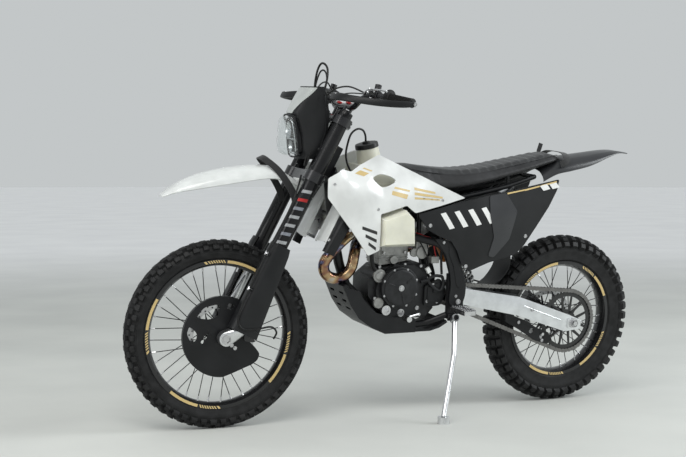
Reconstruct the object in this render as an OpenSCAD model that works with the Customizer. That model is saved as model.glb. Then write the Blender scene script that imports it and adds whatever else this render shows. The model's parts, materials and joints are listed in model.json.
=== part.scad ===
// Enduro dirt bike, leaning on its side stand with the steering turned a little to the right.
// +X forward, +Y the rider's left, +Z up. The ground is z = 0.
// Origin: on the ground, in the middle of the bounding box.
// Every piece is drawn on the upright bike, with the rear axle above x = 0, then leaned.
// Steered pieces are drawn with the steering straight and then turned about the steering axis.

/* [Stance] */
// Distance between the axles with the steering straight
wheelbase = 1482; // [1430:1:1540]
// Lean to the left on the side stand, in degrees
lean = 5.9; // [4.5:0.1:7.5]
// Turn of the steering at rest, in degrees, negative to the right
steer_rest = -5.4; // [-10:0.1:-1]
// Angle of the steering axis back from vertical, in degrees
rake = 26.5; // [25.5:0.1:27.5]
// How far the front axle sits ahead of the steering axis
axle_offset = 57; // [50:1:64]

/* [Wheels] */
// Outer radius of the front tyre, over its knobs
front_r = 348; // [335:1:356]
// Section radius of the front tyre
front_section = 44; // [38:1:46]
// Outer radius of the rear tyre, over its knobs
rear_r = 341; // [328:1:350]
// Section radius of the rear tyre
rear_section = 57; // [50:1:58]
// Flange radius of the front rim
front_rim_r = 277; // [270:1:282]
// Flange radius of the rear rim
rear_rim_r = 239; // [232:1:244]
// Width of the front rim
front_rim_w = 48; // [42:1:54]
// Width of the rear rim
rear_rim_w = 66; // [58:1:72]
// Diameter of a spoke
spoke_d = 3.4; // [3:0.1:4]
// Diameter of the front axle
front_axle_d = 26; // [20:1:28]
// Diameter of the rear axle
rear_axle_d = 25; // [20:1:26]
// Radius of the front brake disc
front_disc_r = 130; // [120:1:135]
// Radius of the rear brake disc
rear_disc_r = 110; // [100:1:115]

/* [Drive] */
// Distance of the chain from the middle of the bike
chain_y = 71; // [69:0.5:73]
// Pitch radius of the rear sprocket
sprocket_r = 124; // [116:1:128]
// Pitch radius of the engine sprocket
front_sprocket_r = 33; // [29:1:37]

/* [Fork] */
// Distance of a fork leg from the middle of the bike
leg_y = 107; // [105:0.5:110]
// How far a fork leg sits ahead of the steering axis
leg_f = 29; // [27:0.5:31]
// Diameter of the outer fork tube
fork_outer_d = 56; // [52:1:58]
// Diameter of the inner fork tube
fork_inner_d = 48; // [43:1:49]
// Diameter of the steering stem
stem_d = 30; // [26:1:32]

/* [Fits] */
// Radial running clearance of axles, stem and pivots
run_gap = 0.06; // [0.02:0.01:0.1]
// Gap between a moving piece's end face and what carries it
end_gap = 0.3; // [0.2:0.1:0.5]
// Gap between pieces of one body that lie close without a joint
seat_gap = 0.3; // [0.2:0.1:0.5]

/* [Hidden] */
$fn = 48;
hull_fn = 12;

// Middle of the bounding box, from the ground point under the rear axle
middle_x = 744;
middle_y = 128;
// Stance worked out from the driving sizes: both tyres touch z = 0.
lift = rear_section * (1 - cos(lean));
axle_tilt = -cos(steer_rest) * sin(lean) - sin(steer_rest) * sin(rake) * cos(lean);
front_centre_z = (front_r - front_section) * sqrt(1 - axle_tilt * axle_tilt) + front_section - lift;
front_rise = (front_centre_z + axle_offset * sin(steer_rest) * sin(lean)) / cos(lean);
axle_drop = (front_rise - axle_offset * cos(steer_rest) * sin(rake)) / cos(rake);
steer_x = wheelbase - axle_offset * cos(rake) + axle_drop * sin(rake);
// Frame, engine and bodywork are drawn for this steering axis, and move with it
drawn_steer_x = 1592.087;
sprung_x = steer_x - drawn_steer_x;

// Heights along the steering axis, measured from the ground point of the axis.
clamp_low_s = [1004, 1042];
clamp_top_s = [1234, 1266];
fork_top_s = 1288;
fork_split_s = 700;
lug_top_s = axle_drop + 75;

module leaned() { translate([-middle_x, -middle_y, lift]) rotate([-lean, 0, 0]) children(); }
// Straight steering frame: x forward of the axis, z along the axis.
module sprung() { leaned() translate([sprung_x, 0, 0]) children(); }
module fork_frame() { translate([steer_x, 0, 0]) rotate([0, -rake, 0]) children(); }
module turned() { leaned() fork_frame() rotate([0, 0, steer_rest]) children(); }
// The same turn for pieces that are drawn in the upright bike's own frame.
module turned_bike() { turned() rotate([0, rake, 0]) translate([-drawn_steer_x, 0, 0]) children(); }
module front_wheel_place() { turned() translate([axle_offset, 0, axle_drop]) children(); }
module rear_wheel_place() { leaned() translate([0, 0, rear_r]) children(); }
module both_sides() { children(); mirror([0, 1, 0]) children(); }
// A disc or bar across the bike from y = a to y = b
module across(r, a, b) { translate([0, b, 0]) rotate([90, 0, 0]) cylinder(r = r, h = b - a); }
// An outline in x and z made solid from y = a to y = b
module plate(points, a, b) {
    translate([0, b, 0]) rotate([90, 0, 0]) linear_extrude(b - a) polygon(points);
}

function unit(v) = v / norm(v);
// A point of the upright bike after the lean
function leaned_point(p) = [p[0] - middle_x, p[1] * cos(lean) + p[2] * sin(lean) - middle_y,
    -p[1] * sin(lean) + p[2] * cos(lean) + lift];
function knot(p, i) = p[min(max(i, 0), len(p) - 1)];
function curve_at(p, i, t) =
    let (a = knot(p, i - 1), b = knot(p, i), c = knot(p, i + 1), d = knot(p, i + 2))
    0.5 * (2 * b + (c - a) * t + (2 * a - 5 * b + 4 * c - d) * t * t
        + (3 * b - a - 3 * c + d) * t * t * t);
// Smooth curve through the points of p with n steps between each pair
function spline(p, n) = concat(
    [for (i = [0 : len(p) - 2], j = [0 : n - 1]) curve_at(p, i, j / n)], [p[len(p) - 1]]);
function heading(p, i) = unit(knot(p, i + 1) - knot(p, i - 1));
function any_side(t) = unit(cross(t, abs(t[2]) < 0.9 ? [0, 0, 1] : [1, 0, 0]));
function sides_of(p, i = 0, done = []) = i == len(p) ? done :
    let (t = heading(p, i), n = i == 0 ? any_side(t) : done[i - 1])
    sides_of(p, i + 1, concat(done, [unit(n - t * (n * t))]));

// Closed solid through rings of points that turn anticlockwise seen from the last ring
module loft(rings) {
    n = len(rings);
    m = len(rings[0]);
    polyhedron(
        [for (r = rings) for (q = r) q],
        concat(
            [[for (k = [0 : m - 1]) k]],
            [for (i = [0 : n - 2], k = [0 : m - 1]) let (l = (k + 1) % m)
                [i * m + k, (i + 1) * m + k, (i + 1) * m + l]],
            [for (i = [0 : n - 2], k = [0 : m - 1]) let (l = (k + 1) % m)
                [i * m + k, (i + 1) * m + l, i * m + l]],
            [[for (k = [m - 1 : -1 : 0]) (n - 1) * m + k]]),
        convexity = 6);
}

// Round tube of diameter d swept along the smooth curve through a route
module hose(route, d, sides = 12, steps = 4) {
    p = spline(route, steps);
    s = sides_of(p);
    loft([for (i = [0 : len(p) - 1]) let (t = heading(p, i), a = s[i], b = cross(t, a))
        [for (k = [0 : sides - 1])
            p[i] + d / 2 * (cos(360 * k / sides) * a + sin(360 * k / sides) * b)]]);
}

// Bent tube as a chain of hulled balls, for welded frames of one mesh
module tube(route, d, steps = 2) {
    p = spline(route, steps);
    for (i = [0 : len(p) - 2]) hull() {
        translate(p[i]) sphere(d = d, $fn = hull_fn);
        translate(p[i + 1]) sphere(d = d, $fn = hull_fn);
    }
}

// Straight round bar between two points
module bar(a, b, d) {
    v = b - a;
    turn = atan2(v[1], v[0]);
    tip = acos(v[2] / norm(v));
    translate(a) rotate([0, tip, turn]) cylinder(d = d, h = norm(v));
}

// Sheet of the given faces between an outer and an inner copy of the same points.
// Faces are listed clockwise seen from outside, and open edges are walled.
module sheet(outer, inner, faces) {
    n = len(outer);
    tris = [for (f = faces) for (k = [1 : len(f) - 2]) [f[0], f[k], f[k + 1]]];
    edges = [for (f = faces) for (k = [0 : len(f) - 1]) [f[k], f[(k + 1) % len(f)]]];
    rim = [for (e = edges) if (len([for (g = edges) if (g == [e[1], e[0]]) 1]) == 0) e];
    polyhedron(
        concat(outer, inner),
        concat(
            tris,
            [for (f = tris) [f[2] + n, f[1] + n, f[0] + n]],
            [for (e = rim) [e[1], e[0], e[0] + n]],
            [for (e = rim) [e[1], e[0] + n, e[1] + n]]),
        convexity = 8);
}
// Faces of a grid of rows by columns, clockwise seen from the side where rows go down
// and columns go right
function grid_faces(rows, cols) = [for (i = [0 : rows - 2], j = [0 : cols - 2])
    [i * cols + j, i * cols + j + 1, (i + 1) * cols + j + 1, (i + 1) * cols + j]];
function flat(rows) = [for (r = rows) for (q = r) q];

// ---------------------------------------------------------------- wheels

bead_depth = 13;
rim_wall = 4;
module tyre(r, section, rim_r, rim_w) {
    rotate([90, 0, 0]) rotate_extrude($fn = 96) difference() {
        translate([r - section, 0]) circle(section);
        translate([0, -section - 1]) square([rim_r + seat_gap, 2 * section + 2]);
    }
    rotate([90, 0, 0]) rotate_extrude($fn = 96)
        translate([rim_r - bead_depth, -rim_w / 2 + rim_wall + seat_gap])
            square([bead_depth + 1, rim_w - 2 * (rim_wall + seat_gap)]);
}

module rim(rim_r, rim_w) {
    half = rim_w / 2;
    floor_r = rim_r - bead_depth - seat_gap;
    rotate([90, 0, 0]) rotate_extrude($fn = 96) polygon([
        [rim_r, -half], [rim_r, -half + rim_wall], [floor_r, -half + rim_wall],
        [floor_r, half - rim_wall], [rim_r, half - rim_wall], [rim_r, half],
        [floor_r - 2, half], [floor_r - 12, half * 0.45], [floor_r - 12, -half * 0.45],
        [floor_r - 2, -half]
    ]);
}
function rim_inner(rim_r) = rim_r - bead_depth - seat_gap - 12;

spokes_a_side = 18;
cross_angle = 60;
flange_half = 7;
spoke_lane = 9;
// Spokes of one wheel: from hub flange radius flange_r at +-flange_y to the rim
module spoke_set(flange_r, flange_y, rim_r) {
    start_r = flange_r + spoke_d / 2 + 0.1;
    end_r = rim_inner(rim_r) - 0.5;
    step = 360 / spokes_a_side;
    for (s = [-1, 1], k = [0 : spokes_a_side - 1]) {
        way = k % 2 == 0 ? 1 : -1;
        rim_a = k * step + (s > 0 ? 0 : step / 2);
        hub_a = rim_a - way * cross_angle;
        bar([start_r * cos(hub_a), s * (flange_y + way * spoke_lane / 2), start_r * sin(hub_a)],
            [end_r * cos(rim_a), s * 7, end_r * sin(rim_a)], spoke_d);
    }
}

module hub(flange_r, flange_y, barrel_r, half, axle_d) {
    difference() {
        union() {
            across(barrel_r, -half, half);
            for (s = [-1, 1]) translate([0, s * flange_y, 0])
                across(flange_r, -flange_half, flange_half);
        }
        across(axle_d / 2 + run_gap, -half - 1, half + 1);
    }
}

front_hub_half = 56;
front_flange_y = 32;
front_flange_r = 30;
front_disc_y = 50;
disc_half = 2;
rear_hub_half = 78;
rear_flange_y = 34;
rear_flange_r = 44;
rear_disc_y = -66;
sprocket_half = 3;

module front_tyre() color([0.07, 0.07, 0.07])
    front_wheel_place() tyre(front_r, front_section, front_rim_r, front_rim_w);
module front_rim() color([0.09, 0.09, 0.09])
    front_wheel_place() rim(front_rim_r, front_rim_w);
module front_hub() color([0.12, 0.12, 0.12]) front_wheel_place()
    hub(front_flange_r, front_flange_y, 22, front_hub_half, front_axle_d);
module front_spokes() color([0.2, 0.2, 0.2])
    front_wheel_place() spoke_set(front_flange_r, front_flange_y, front_rim_r);

// Brake rotor: ring and carrier with bores, seated on the hub's barrel
module rotor(r, barrel_r, holes) {
    difference() {
        across(r, -disc_half, disc_half);
        across(barrel_r + seat_gap, -disc_half - 1, disc_half + 1);
        for (k = [0 : holes - 1]) rotate([0, k * 360 / holes, 0])
            translate([r * 0.56, 0, 0]) across(r * 0.16, -disc_half - 1, disc_half + 1);
        for (k = [0 : 2 * holes - 1]) rotate([0, k * 180 / holes, 0])
            translate([r - 14, 0, 0]) across(4, -disc_half - 1, disc_half + 1);
    }
}
module front_disc() color([0.6, 0.6, 0.62]) front_wheel_place()
    translate([0, front_disc_y, 0]) rotor(front_disc_r, 22, 6);

module rear_tyre() color([0.07, 0.07, 0.07])
    rear_wheel_place() tyre(rear_r, rear_section, rear_rim_r, rear_rim_w);
module rear_rim() color([0.09, 0.09, 0.09])
    rear_wheel_place() rim(rear_rim_r, rear_rim_w);
module rear_hub() color([0.12, 0.12, 0.12]) rear_wheel_place()
    hub(rear_flange_r, rear_flange_y, 30, rear_hub_half, rear_axle_d);
module rear_spokes() color([0.2, 0.2, 0.2])
    rear_wheel_place() spoke_set(rear_flange_r, rear_flange_y, rear_rim_r);
module rear_disc() color([0.6, 0.6, 0.62]) rear_wheel_place()
    translate([0, rear_disc_y, 0]) rotor(rear_disc_r, 30, 6);

chain_half_t = 7;
chain_half_w = 8;
sprocket_gap = 1.5;
module rear_sprocket() color([0.55, 0.56, 0.58]) rear_wheel_place()
    translate([0, chain_y, 0]) difference() {
        across(sprocket_r - chain_half_t - sprocket_gap, -sprocket_half, sprocket_half);
        across(30 + seat_gap, -sprocket_half - 1, sprocket_half + 1);
        for (k = [0 : 5]) rotate([0, k * 60, 0]) translate([sprocket_r * 0.6, 0, 0])
            across(sprocket_r * 0.17, -sprocket_half - 1, sprocket_half + 1);
    }

// ---------------------------------------------------------------- drive and swingarm

drive_x = 602;
drive_z = 484;
module belt_outline(r_front, r_rear) {
    hull() {
        translate([0, rear_r]) circle(r_rear, $fn = 72);
        translate([drive_x + sprung_x, drive_z]) circle(r_front, $fn = 40);
    }
}
module drive_chain() color([0.45, 0.45, 0.46]) leaned() {
    translate([0, chain_y + chain_half_w, 0]) rotate([90, 0, 0])
        linear_extrude(2 * chain_half_w) difference() {
            belt_outline(front_sprocket_r + chain_half_t, sprocket_r + chain_half_t);
            belt_outline(front_sprocket_r - chain_half_t, sprocket_r - chain_half_t);
        }
    // Engine sprocket, turned by the gearbox and fixed here
    translate([drive_x + sprung_x, chain_y, drive_z])
        across(front_sprocket_r - chain_half_t, -sprocket_half, sprocket_half);
}

pivot_x = 545;
pivot_z = 452;
pivot_r = 11;
arm_inner_front = 80.5;
arm_outer_front = 95;
arm_inner_rear = 92;
arm_outer_rear = 120;
module slab(x0, x1, y0, y1, z0, z1) {
    translate([x0, y0, z0]) cube([x1 - x0, y1 - y0, z1 - z0]);
}
module arm() {
    hull() {
        translate([sprung_x, 0, 0]) slab(500, 520, arm_inner_front, arm_outer_front, 436, 496);
        slab(256, 262, arm_inner_rear - 4, arm_outer_rear - 4, 382, 456);
    }
    hull() {
        slab(256, 262, arm_inner_rear - 4, arm_outer_rear - 4, 382, 456);
        slab(20, 40, arm_inner_rear, arm_outer_rear, rear_r - 32, rear_r + 34);
    }
    hull() {
        slab(20, 40, arm_inner_rear, arm_outer_rear, rear_r - 32, rear_r + 34);
        slab(-38, -34, arm_inner_rear, arm_outer_rear, rear_r - 26, rear_r + 10);
    }
    translate([sprung_x, 0, 0]) {
        slab(515, pivot_x, arm_inner_front, arm_outer_front, pivot_z - 22, pivot_z + 34);
        translate([pivot_x, 0, pivot_z]) across(34, arm_inner_front, arm_outer_front);
    }
}
module swingarm() color([0.78, 0.79, 0.8]) leaned() difference() {
    union() {
        arm();
        mirror([0, 1, 0]) arm();
        translate([sprung_x, 0, 0])
            slab(404, 500, -arm_inner_front - 1, arm_inner_front + 1, 434, 472);
    }
    translate([pivot_x + sprung_x, 0, pivot_z]) across(pivot_r, -120, 120);
    translate([0, 0, rear_r]) across(rear_axle_d / 2, -arm_outer_rear - 1, arm_outer_rear + 1);
}

module rear_axle() color([0.7, 0.7, 0.72]) leaned() translate([0, 0, rear_r]) {
    across(rear_axle_d / 2, -arm_outer_rear - 10, arm_outer_rear + 10);
    for (s = [-1, 1]) {
        // Nut with its block outside the arm, and the spacer between arm and hub
        translate([0, s * (arm_outer_rear + 5), 0]) across(20, -5, 5);
        spacer = (arm_inner_rear - rear_hub_half - end_gap) / 2;
        translate([0, s * (rear_hub_half + end_gap + spacer), 0]) across(19, -spacer, spacer);
    }
}

module chain_guide() color([0.08, 0.08, 0.08]) leaned() difference() {
    plate([[262, 376], [300, 392], [296, 352], [240, 322], [150, 268], [96, 252], [70, 268],
        [92, 300], [150, 322], [200, 352]], chain_y + chain_half_w + 1, chain_y + chain_half_w + 7);
    for (p = [[120, 284], [172, 310]]) translate([p[0], chain_y + 12, p[1]]) across(11, -6, 6);
}

module rear_caliper() color([0.1, 0.1, 0.1]) leaned() {
    difference() {
        translate([84, 0, rear_r + 62]) rotate([0, -35, 0])
            slab(-34, 34, -89.8, -46, -24, 24);
        // Slot for the disc
        translate([0, 0, rear_r]) across(rear_disc_r + 5, rear_disc_y - 7, rear_disc_y + 7);
    }
}

// ---------------------------------------------------------------- frame

gusset_depth = 60;
head_len = clamp_top_s[0] - clamp_low_s[1] - 2 * end_gap;
module head_tube() color([0.06, 0.06, 0.06]) leaned() fork_frame() difference() {
    union() {
        translate([0, 0, clamp_low_s[1] + end_gap]) cylinder(d = 52, h = head_len);
        translate([-gusset_depth, -14, clamp_low_s[1] + 18]) cube([gusset_depth - 10, 28, 120]);
    }
    translate([0, 0, clamp_low_s[1]]) cylinder(d = stem_d + 2 * run_gap, h = head_len + 2);
}

plate_inner = 97;
plate_outer = 114;
module main_frame() color([0.06, 0.06, 0.06]) leaned() difference() {
    translate([sprung_x, 0, 0]) frame_tubes();
    fork_frame() translate([-gusset_depth - seat_gap, -50, 900]) cube([200, 100, 400]);
}
module frame_tubes() {
    tube([[1064, 0, 985], [1060, 0, 900], [1036, 0, 740], [1004, 0, 600], [968, 0, 505]], 38);
    for (s = [-1, 1]) {
        tube([[1064, s * 20, 975], [1010, s * 30, 850], [930, s * 54, 776], [850, s * 80, 732],
            [740, s * 92, 704], [650, s * 106, 682]], 28);
        tube([[650, s * 106, 682], [606, s * 110, 650], [574, s * 110, 570],
            [556, s * 110, 480]], 26);
        tube([[972, s * 8, 520], [930, s * 42, 470], [878, s * 60, 412], [820, s * 66, 359],
            [700, s * 62, 359], [650, s * 66, 364], [578, s * 94, 396]], 25);
        mirror([0, s < 0 ? 1 : 0, 0]) hull() {
            slab(516, 560, plate_inner, plate_outer, 436, 470);
            slab(548, 584, plate_inner, plate_outer, 384, 404);
            slab(552, 588, plate_inner, plate_outer, 520, 560);
        }
        // Lugs that carry the tank and the seat rails
        bar([1018, s * 30, 872], [968 + seat_gap, s * 30, 872], 20);
        bar([700, s * 62, 696], [700, s * 62, 799.2], 18);
    }
    tube([[700, -98, 694], [700, 0, 698], [700, 98, 694]], 20);
    // Top mount of the shock, radiator mounts and the bolt through the swingarm
    tube([[640, -92, 690], [572, 0, 689], [640, 92, 690]], 20);
    translate([1052, 0, 783]) across(8, -54 + seat_gap, 54 - seat_gap);
    translate([pivot_x, 0, pivot_z]) across(pivot_r - seat_gap, -plate_outer - 4, plate_outer + 4);
}

module subframe() color([0.06, 0.06, 0.06]) sprung() {
    for (s = [-1, 1]) {
        tube([[742, s * 62, 800], [640, s * 62, 828], [450, s * 60, 862], [300, s * 54, 892],
            [180, s * 46, 926]], 20);
        tube([[590, s * 92, 700], [520, s * 88, 740], [400, s * 74, 800], [285, s * 54, 884]], 16);
    }
    // Posts under the seat and pegs of the side panels
    for (s = [-1, 1]) bar([306, s * 50, 892], [306, s * 50, 936], 14);
    both_sides() translate([460, 0, 770]) across(7, 78, 128.5);
    tube([[180, -46, 926], [180, 0, 926], [180, 46, 926]], 18);
    tube([[660, -62, 822], [660, 0, 822], [660, 62, 822]], 16);
}

module skid_plate() color([0.07, 0.07, 0.07]) sprung() {
    difference() {
        plate([[1022, 522], [1006, 528], [996, 520], [968, 455], [934, 408], [878, 370], [832, 344],
            [640, 340], [600, 352], [566, 372], [560, 362], [596, 342], [636, 332], [836, 332],
            [892, 356], [950, 396], [986, 446]], -78, 78);
        for (z = [430, 460, 490], s = [-1, 1]) translate([930 + (z - 390) * 0.5, s * 40, z])
            cube([90, 34, 9], center = true);
    }
    both_sides() plate([[1020, 520], [986, 446], [950, 396], [892, 356], [836, 332], [704, 332],
        [706, 384], [722, 392], [800, 394], [880, 416], [930, 462], [950, 500]], 80, 85);
    both_sides() plate([[1022, 522], [1006, 528], [996, 520], [968, 455], [934, 408], [878, 370],
        [832, 344], [704, 341], [704, 332], [836, 332], [892, 356], [950, 396], [986, 446]], 77, 81);
}

// ---------------------------------------------------------------- engine

module engine_case() color([0.13, 0.13, 0.14]) sprung() difference() {
    engine_castings();
    translate([pivot_x, 0, pivot_z]) across(pivot_r, -70, 70);
}
module engine_castings() {
    plate([[656, 420], [656, 520], [560, 478], [540, 436]], -58, 58);
    translate([pivot_x, 0, pivot_z]) across(21, -58, 58);
    plate([[652, 384], [620, 420], [652, 520], [664, 590], [730, 604], [850, 584], [905, 540],
        [905, 480], [866, 424], [830, 386]], -70, 61);
    plate([[656, 396], [652, 470], [664, 560], [720, 592], [800, 596], [862, 560], [880, 500],
        [866, 430], [820, 392]], 60, 78);
    plate([[650, 410], [640, 500], [690, 580], [800, 592], [862, 560], [876, 500], [850, 440],
        [800, 412]], -92, -69);
    // Starter motor and oil filter housing
    translate([868, 0, 556]) across(24, -40, 76);
    translate([868, 0, 452]) across(20, 50, 78);
}
module engine_cylinder() color([0.62, 0.62, 0.6]) sprung()
    plate([[738, 606], [732, 700], [742, 774], [838, 790], [866, 742], [860, 590]], -52, 52);
module engine_covers() color([0.16, 0.16, 0.17]) sprung() {
    translate([785, 0, 510]) {
        across(80, 78, 96);
        across(70, 96, 104);
        across(12, 104, 108);
    }
    translate([742, 0, 480]) {
        across(84, -106, -92);
        across(66, -114, -106);
    }
    // Engine sprocket cover
    plate([[652, 430], [604, 434], [588, 470], [588, 512], [612, 540], [652, 520]],
        chain_y + chain_half_w + 1.5, chain_y + chain_half_w + 12);
    plate([[650, 436], [650, 512], [676, 512], [676, 436]], 78 + seat_gap, chain_y + chain_half_w + 12);
}

header_d = 42;
header_route = [[874, -8, 712], [930, 10, 726], [985, 40, 708], [1035, 46, 669],
    [1085, 46, 610], [1074, 42, 562], [1020, 40, 545], [974, 40, 578], [958, 36, 632],
    [940, 10, 664], [905, -40, 668], [866, -80, 656], [790, -86, 646], [700, -80, 640],
    [640, -68, 640], [570, -68, 662], [520, -72, 689]];
module exhaust_pipe() color([0.45, 0.32, 0.2]) sprung() hose(header_route, header_d, 20, 4);

silencer_a = [512, -72, 692];
silencer_b = [190, -62, 850];
module silencer() color([0.66, 0.6, 0.5]) sprung() {
    v = silencer_b - silencer_a;
    bar(silencer_a, silencer_a + v * 0.12, 60);
    bar(silencer_a + v * 0.12, silencer_a + v * 0.95, 78);
    difference() {
        bar(silencer_a + v * 0.94, silencer_b, 60);
        bar(silencer_a + v * 0.96, silencer_b + v * 0.02, 40);
    }
}

// ---------------------------------------------------------------- cooling and fuel

module radiators() color([0.5, 0.52, 0.54]) leaned() fork_frame()
    both_sides() translate([-150, 54, 838]) cube([38, 94, 240]);
// White louvre in front of each radiator: a folded panel, forward f and side y
module radiator_guards() color([0.9, 0.9, 0.88]) leaned() fork_frame() both_sides()
    translate([0, 0, 826]) linear_extrude(254)
        polygon([[-111.5, 50], [-102, 56], [-97.5, 92], [-107, 150], [-111.5, 150]]);

module fuel_tank() color([0.86, 0.86, 0.76]) sprung() {
    hull() {
        slab(862, 960, -50, 50, 955, 972);
        slab(790, 968, -92, 92, 850, 905);
    }
    hull() {
        slab(800, 900, -96, 96, 815, 880);
        slab(690, 720, -80, 80, 840, 868);
        slab(852, 900, -50, 50, 940, 948);
    }
    both_sides() hull() {
        plate([[914, 784], [812, 816], [776, 782], [768, 680], [914, 680]], 110, 160);
        plate([[906, 778], [816, 804], [786, 776], [780, 692], [904, 690]], 160, 180);
    }
    both_sides() plate([[880, 792], [812, 815], [800, 812], [800, 830], [880, 830]], 90, 110);
    translate([889, 0, 962]) rotate([0, 14, 0]) translate([0, 0, -6])
        cylinder(d1 = 95, d2 = 84, h = 80);
    // Bosses that hold the shrouds
    both_sides() translate([930, 0, 866]) across(10, 88, 158.6);
}
module fuel_cap() color([0.06, 0.06, 0.06]) sprung()
    translate([889, 0, 962]) rotate([0, 14, 0]) translate([0, 0, 74.2]) {
        cylinder(d = 90, h = 17);
        translate([0, 0, 17]) cylinder(d = 30, h = 7);
    }
vent_route = [[913.5, 0, 1058], [918, 2, 1082], [932, 6, 1100], [958, 13, 1104], [986, 20, 1086],
    [1002, 27, 1050], [1010, 32, 1012], [1004, 36, 975], [990, 38, 950]];
module vent_hose() color([0.05, 0.05, 0.05]) sprung() hose(vent_route, 8, 8, 4);

// Shroud points on the left: the top edge from front to back, then rows below it
shroud_points = [
    [1141, 165, 937], [1077, 150, 967], [1034, 132, 957], [992, 117, 980], [907, 98, 1017],
    [780, 106, 961], [660, 114, 908], [537, 122, 854],
    [1147, 179, 895], [1050, 168, 925], [978, 155, 925],
    [955, 142, 934], [916, 130, 949], [871, 126, 941], [842, 131, 923], [875, 143, 907],
    [914, 150, 898],
    [1147, 182, 867], [1035, 180, 860], [930, 170, 860], [850, 158, 868], [760, 138, 880],
    [650, 132, 826],
    [1087, 182, 795], [1000, 180, 790], [922, 168, 803], [806, 152, 832], [760, 140, 801],
    [1026, 180, 722], [921, 170, 730], [966, 166, 649], [920, 166, 668]
];
shroud_faces = [
    [1, 0, 8, 9], [2, 1, 9], [2, 9, 10], [3, 2, 10], [3, 10, 11], [4, 3, 11, 12], [4, 12, 13],
    [5, 4, 13], [5, 13, 14], [5, 14, 21], [6, 5, 21], [6, 21, 22], [7, 6, 22],
    [9, 8, 17, 18], [10, 9, 18], [10, 18, 19], [11, 10, 19], [11, 19, 16], [16, 19, 20],
    [15, 16, 20], [14, 15, 20], [14, 20, 21],
    [18, 17, 23, 24], [19, 18, 24, 25], [20, 19, 25], [20, 25, 26], [21, 20, 26], [21, 26, 27],
    [21, 27, 22], [24, 23, 28, 29], [25, 24, 29], [29, 28, 30, 31]
];
shroud_t = 4;
module shroud() {
    outer = shroud_points;
    inner = [for (p = shroud_points) p - [0, shroud_t, 0]];
    sheet(inner, outer, shroud_faces);
}
module tank_shrouds() color([0.93, 0.93, 0.92]) sprung() both_sides() shroud();

// ---------------------------------------------------------------- seat and rear bodywork

// Rows: x, top height, lower height, half width at the top, half width at the bottom
seat_rows = [
    [70, 1016, 1000, 40, 60], [110, 1017, 988, 54, 82], [198, 1001, 966, 64, 98],
    [314, 980, 936, 70, 104], [428, 961, 908, 72, 108], [541, 953, 886, 66, 106],
    [653, 961, 880, 56, 92], [763, 976, 916, 46, 78], [842, 996, 978, 30, 46]
];
function seat_ring(r) = let (x = r[0], t = r[1], l = r[2], a = r[3], b = r[4], h = t - l) [
    [x, b * 0.94, l], [x, b, l + h * 0.18],
    [x, (a + b) / 2, l + h * 0.62], [x, a, t - h * 0.13], [x, a * 0.6, t - h * 0.02],
    [x, 0, t], [x, -a * 0.6, t - h * 0.02], [x, -a, t - h * 0.13],
    [x, -(a + b) / 2, l + h * 0.62], [x, -b, l + h * 0.18], [x, -b * 0.94, l]
];
module seat() color([0.08, 0.08, 0.09]) sprung()
    loft([for (r = spline(seat_rows, 3)) seat_ring(r)]);

// Side panel points on the left: top edge front to back, then lower rows
panel_points = [
    [744, 130, 795], [592, 126, 831], [434, 120, 862], [287, 112, 887], [95, 100, 921],
    [103, 101, 879], [139, 105, 815], [192, 109, 742], [255, 115, 661], [292, 117, 629],
    [417, 123, 600], [507, 126, 569], [543, 130, 598], [568, 133, 653], [596, 134, 690],
    [649, 134, 709], [701, 132, 737],
    [600, 136, 770], [470, 134, 790], [330, 126, 800], [220, 114, 820],
    [480, 134, 700], [350, 126, 710], [255, 118, 740]
];
panel_faces = [
    [1, 0, 16, 17], [17, 16, 15, 14], [2, 1, 17, 18], [3, 2, 18, 19], [4, 3, 19, 20],
    [5, 4, 20], [6, 5, 20], [18, 17, 14, 21], [21, 14, 13], [21, 13, 12], [21, 12, 11, 10],
    [19, 18, 21, 22], [22, 21, 10], [22, 10, 9], [20, 19, 22, 23], [23, 22, 9, 8],
    [6, 20, 23], [7, 6, 23], [8, 7, 23]
];
module panel() {
    outer = panel_points;
    inner = [for (p = panel_points) p - [0, 4, 0]];
    sheet(inner, outer, panel_faces);
}
module side_panels() color([0.1, 0.1, 0.1]) sprung() both_sides() panel();

module airbox() color([0.08, 0.08, 0.08]) sprung()
    plate([[610, 720], [590, 790], [430, 838], [330, 866], [300, 840], [330, 760], [400, 712]],
        -16, 51.6);

// Rows: x, centre height, half width, drop of the edge
rear_fender_rows = [
    [-286, 1020, 26, 1], [-226, 1029, 50, 6], [-165, 1028, 66, 20], [-67, 1018, 84, 42],
    [30, 1006, 92, 50], [100, 990, 92, 48], [160, 958, 88, 46]
];
fender_t = 3.5;
function arch(x, z, half, drop, cols) = [for (k = [0 : cols - 1])
    let (u = 2 * k / (cols - 1) - 1) [x, half * sin(90 * u), z - drop * (1 - cos(90 * u))]];
module arch_sheet(rows, cols, t) {
    r = spline(rows, 3);
    outer = flat([for (q = r) arch(q[0], q[1], q[2], q[3], cols)]);
    inner = flat([for (q = r) arch(q[0], q[1] - t, q[2] - t * 0.7, q[3] - t * 0.3, cols)]);
    sheet(outer, inner, grid_faces(len(r), cols));
}
module rear_fender() color([0.12, 0.12, 0.13]) sprung() arch_sheet(rear_fender_rows, 9, fender_t);

module footpegs() color([0.7, 0.7, 0.7]) sprung() both_sides() {
    slab(524, 576, 130, 226, 416, 436);
    slab(536, 566, plate_outer, 131, 418, 432);
}
module foot_levers() color([0.68, 0.68, 0.68]) sprung() {
    translate([700, 0, 404]) across(6, 78 + seat_gap, 99);
    bar([700, 93, 404], [770, 120, 398], 12);
    bar([770, 112, 398], [770, 152, 398], 22);
    bar([566, -plate_outer - 6.3, 398], [760, -124, 384], 12);
    bar([760, -116, 384], [760, -154, 384], 24);
}
module rear_shock() color([0.75, 0.75, 0.76]) sprung() {
    bar([420, 0, 486], [538.5, 0, 698], 56);
}

// ---------------------------------------------------------------- fork and front

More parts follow.
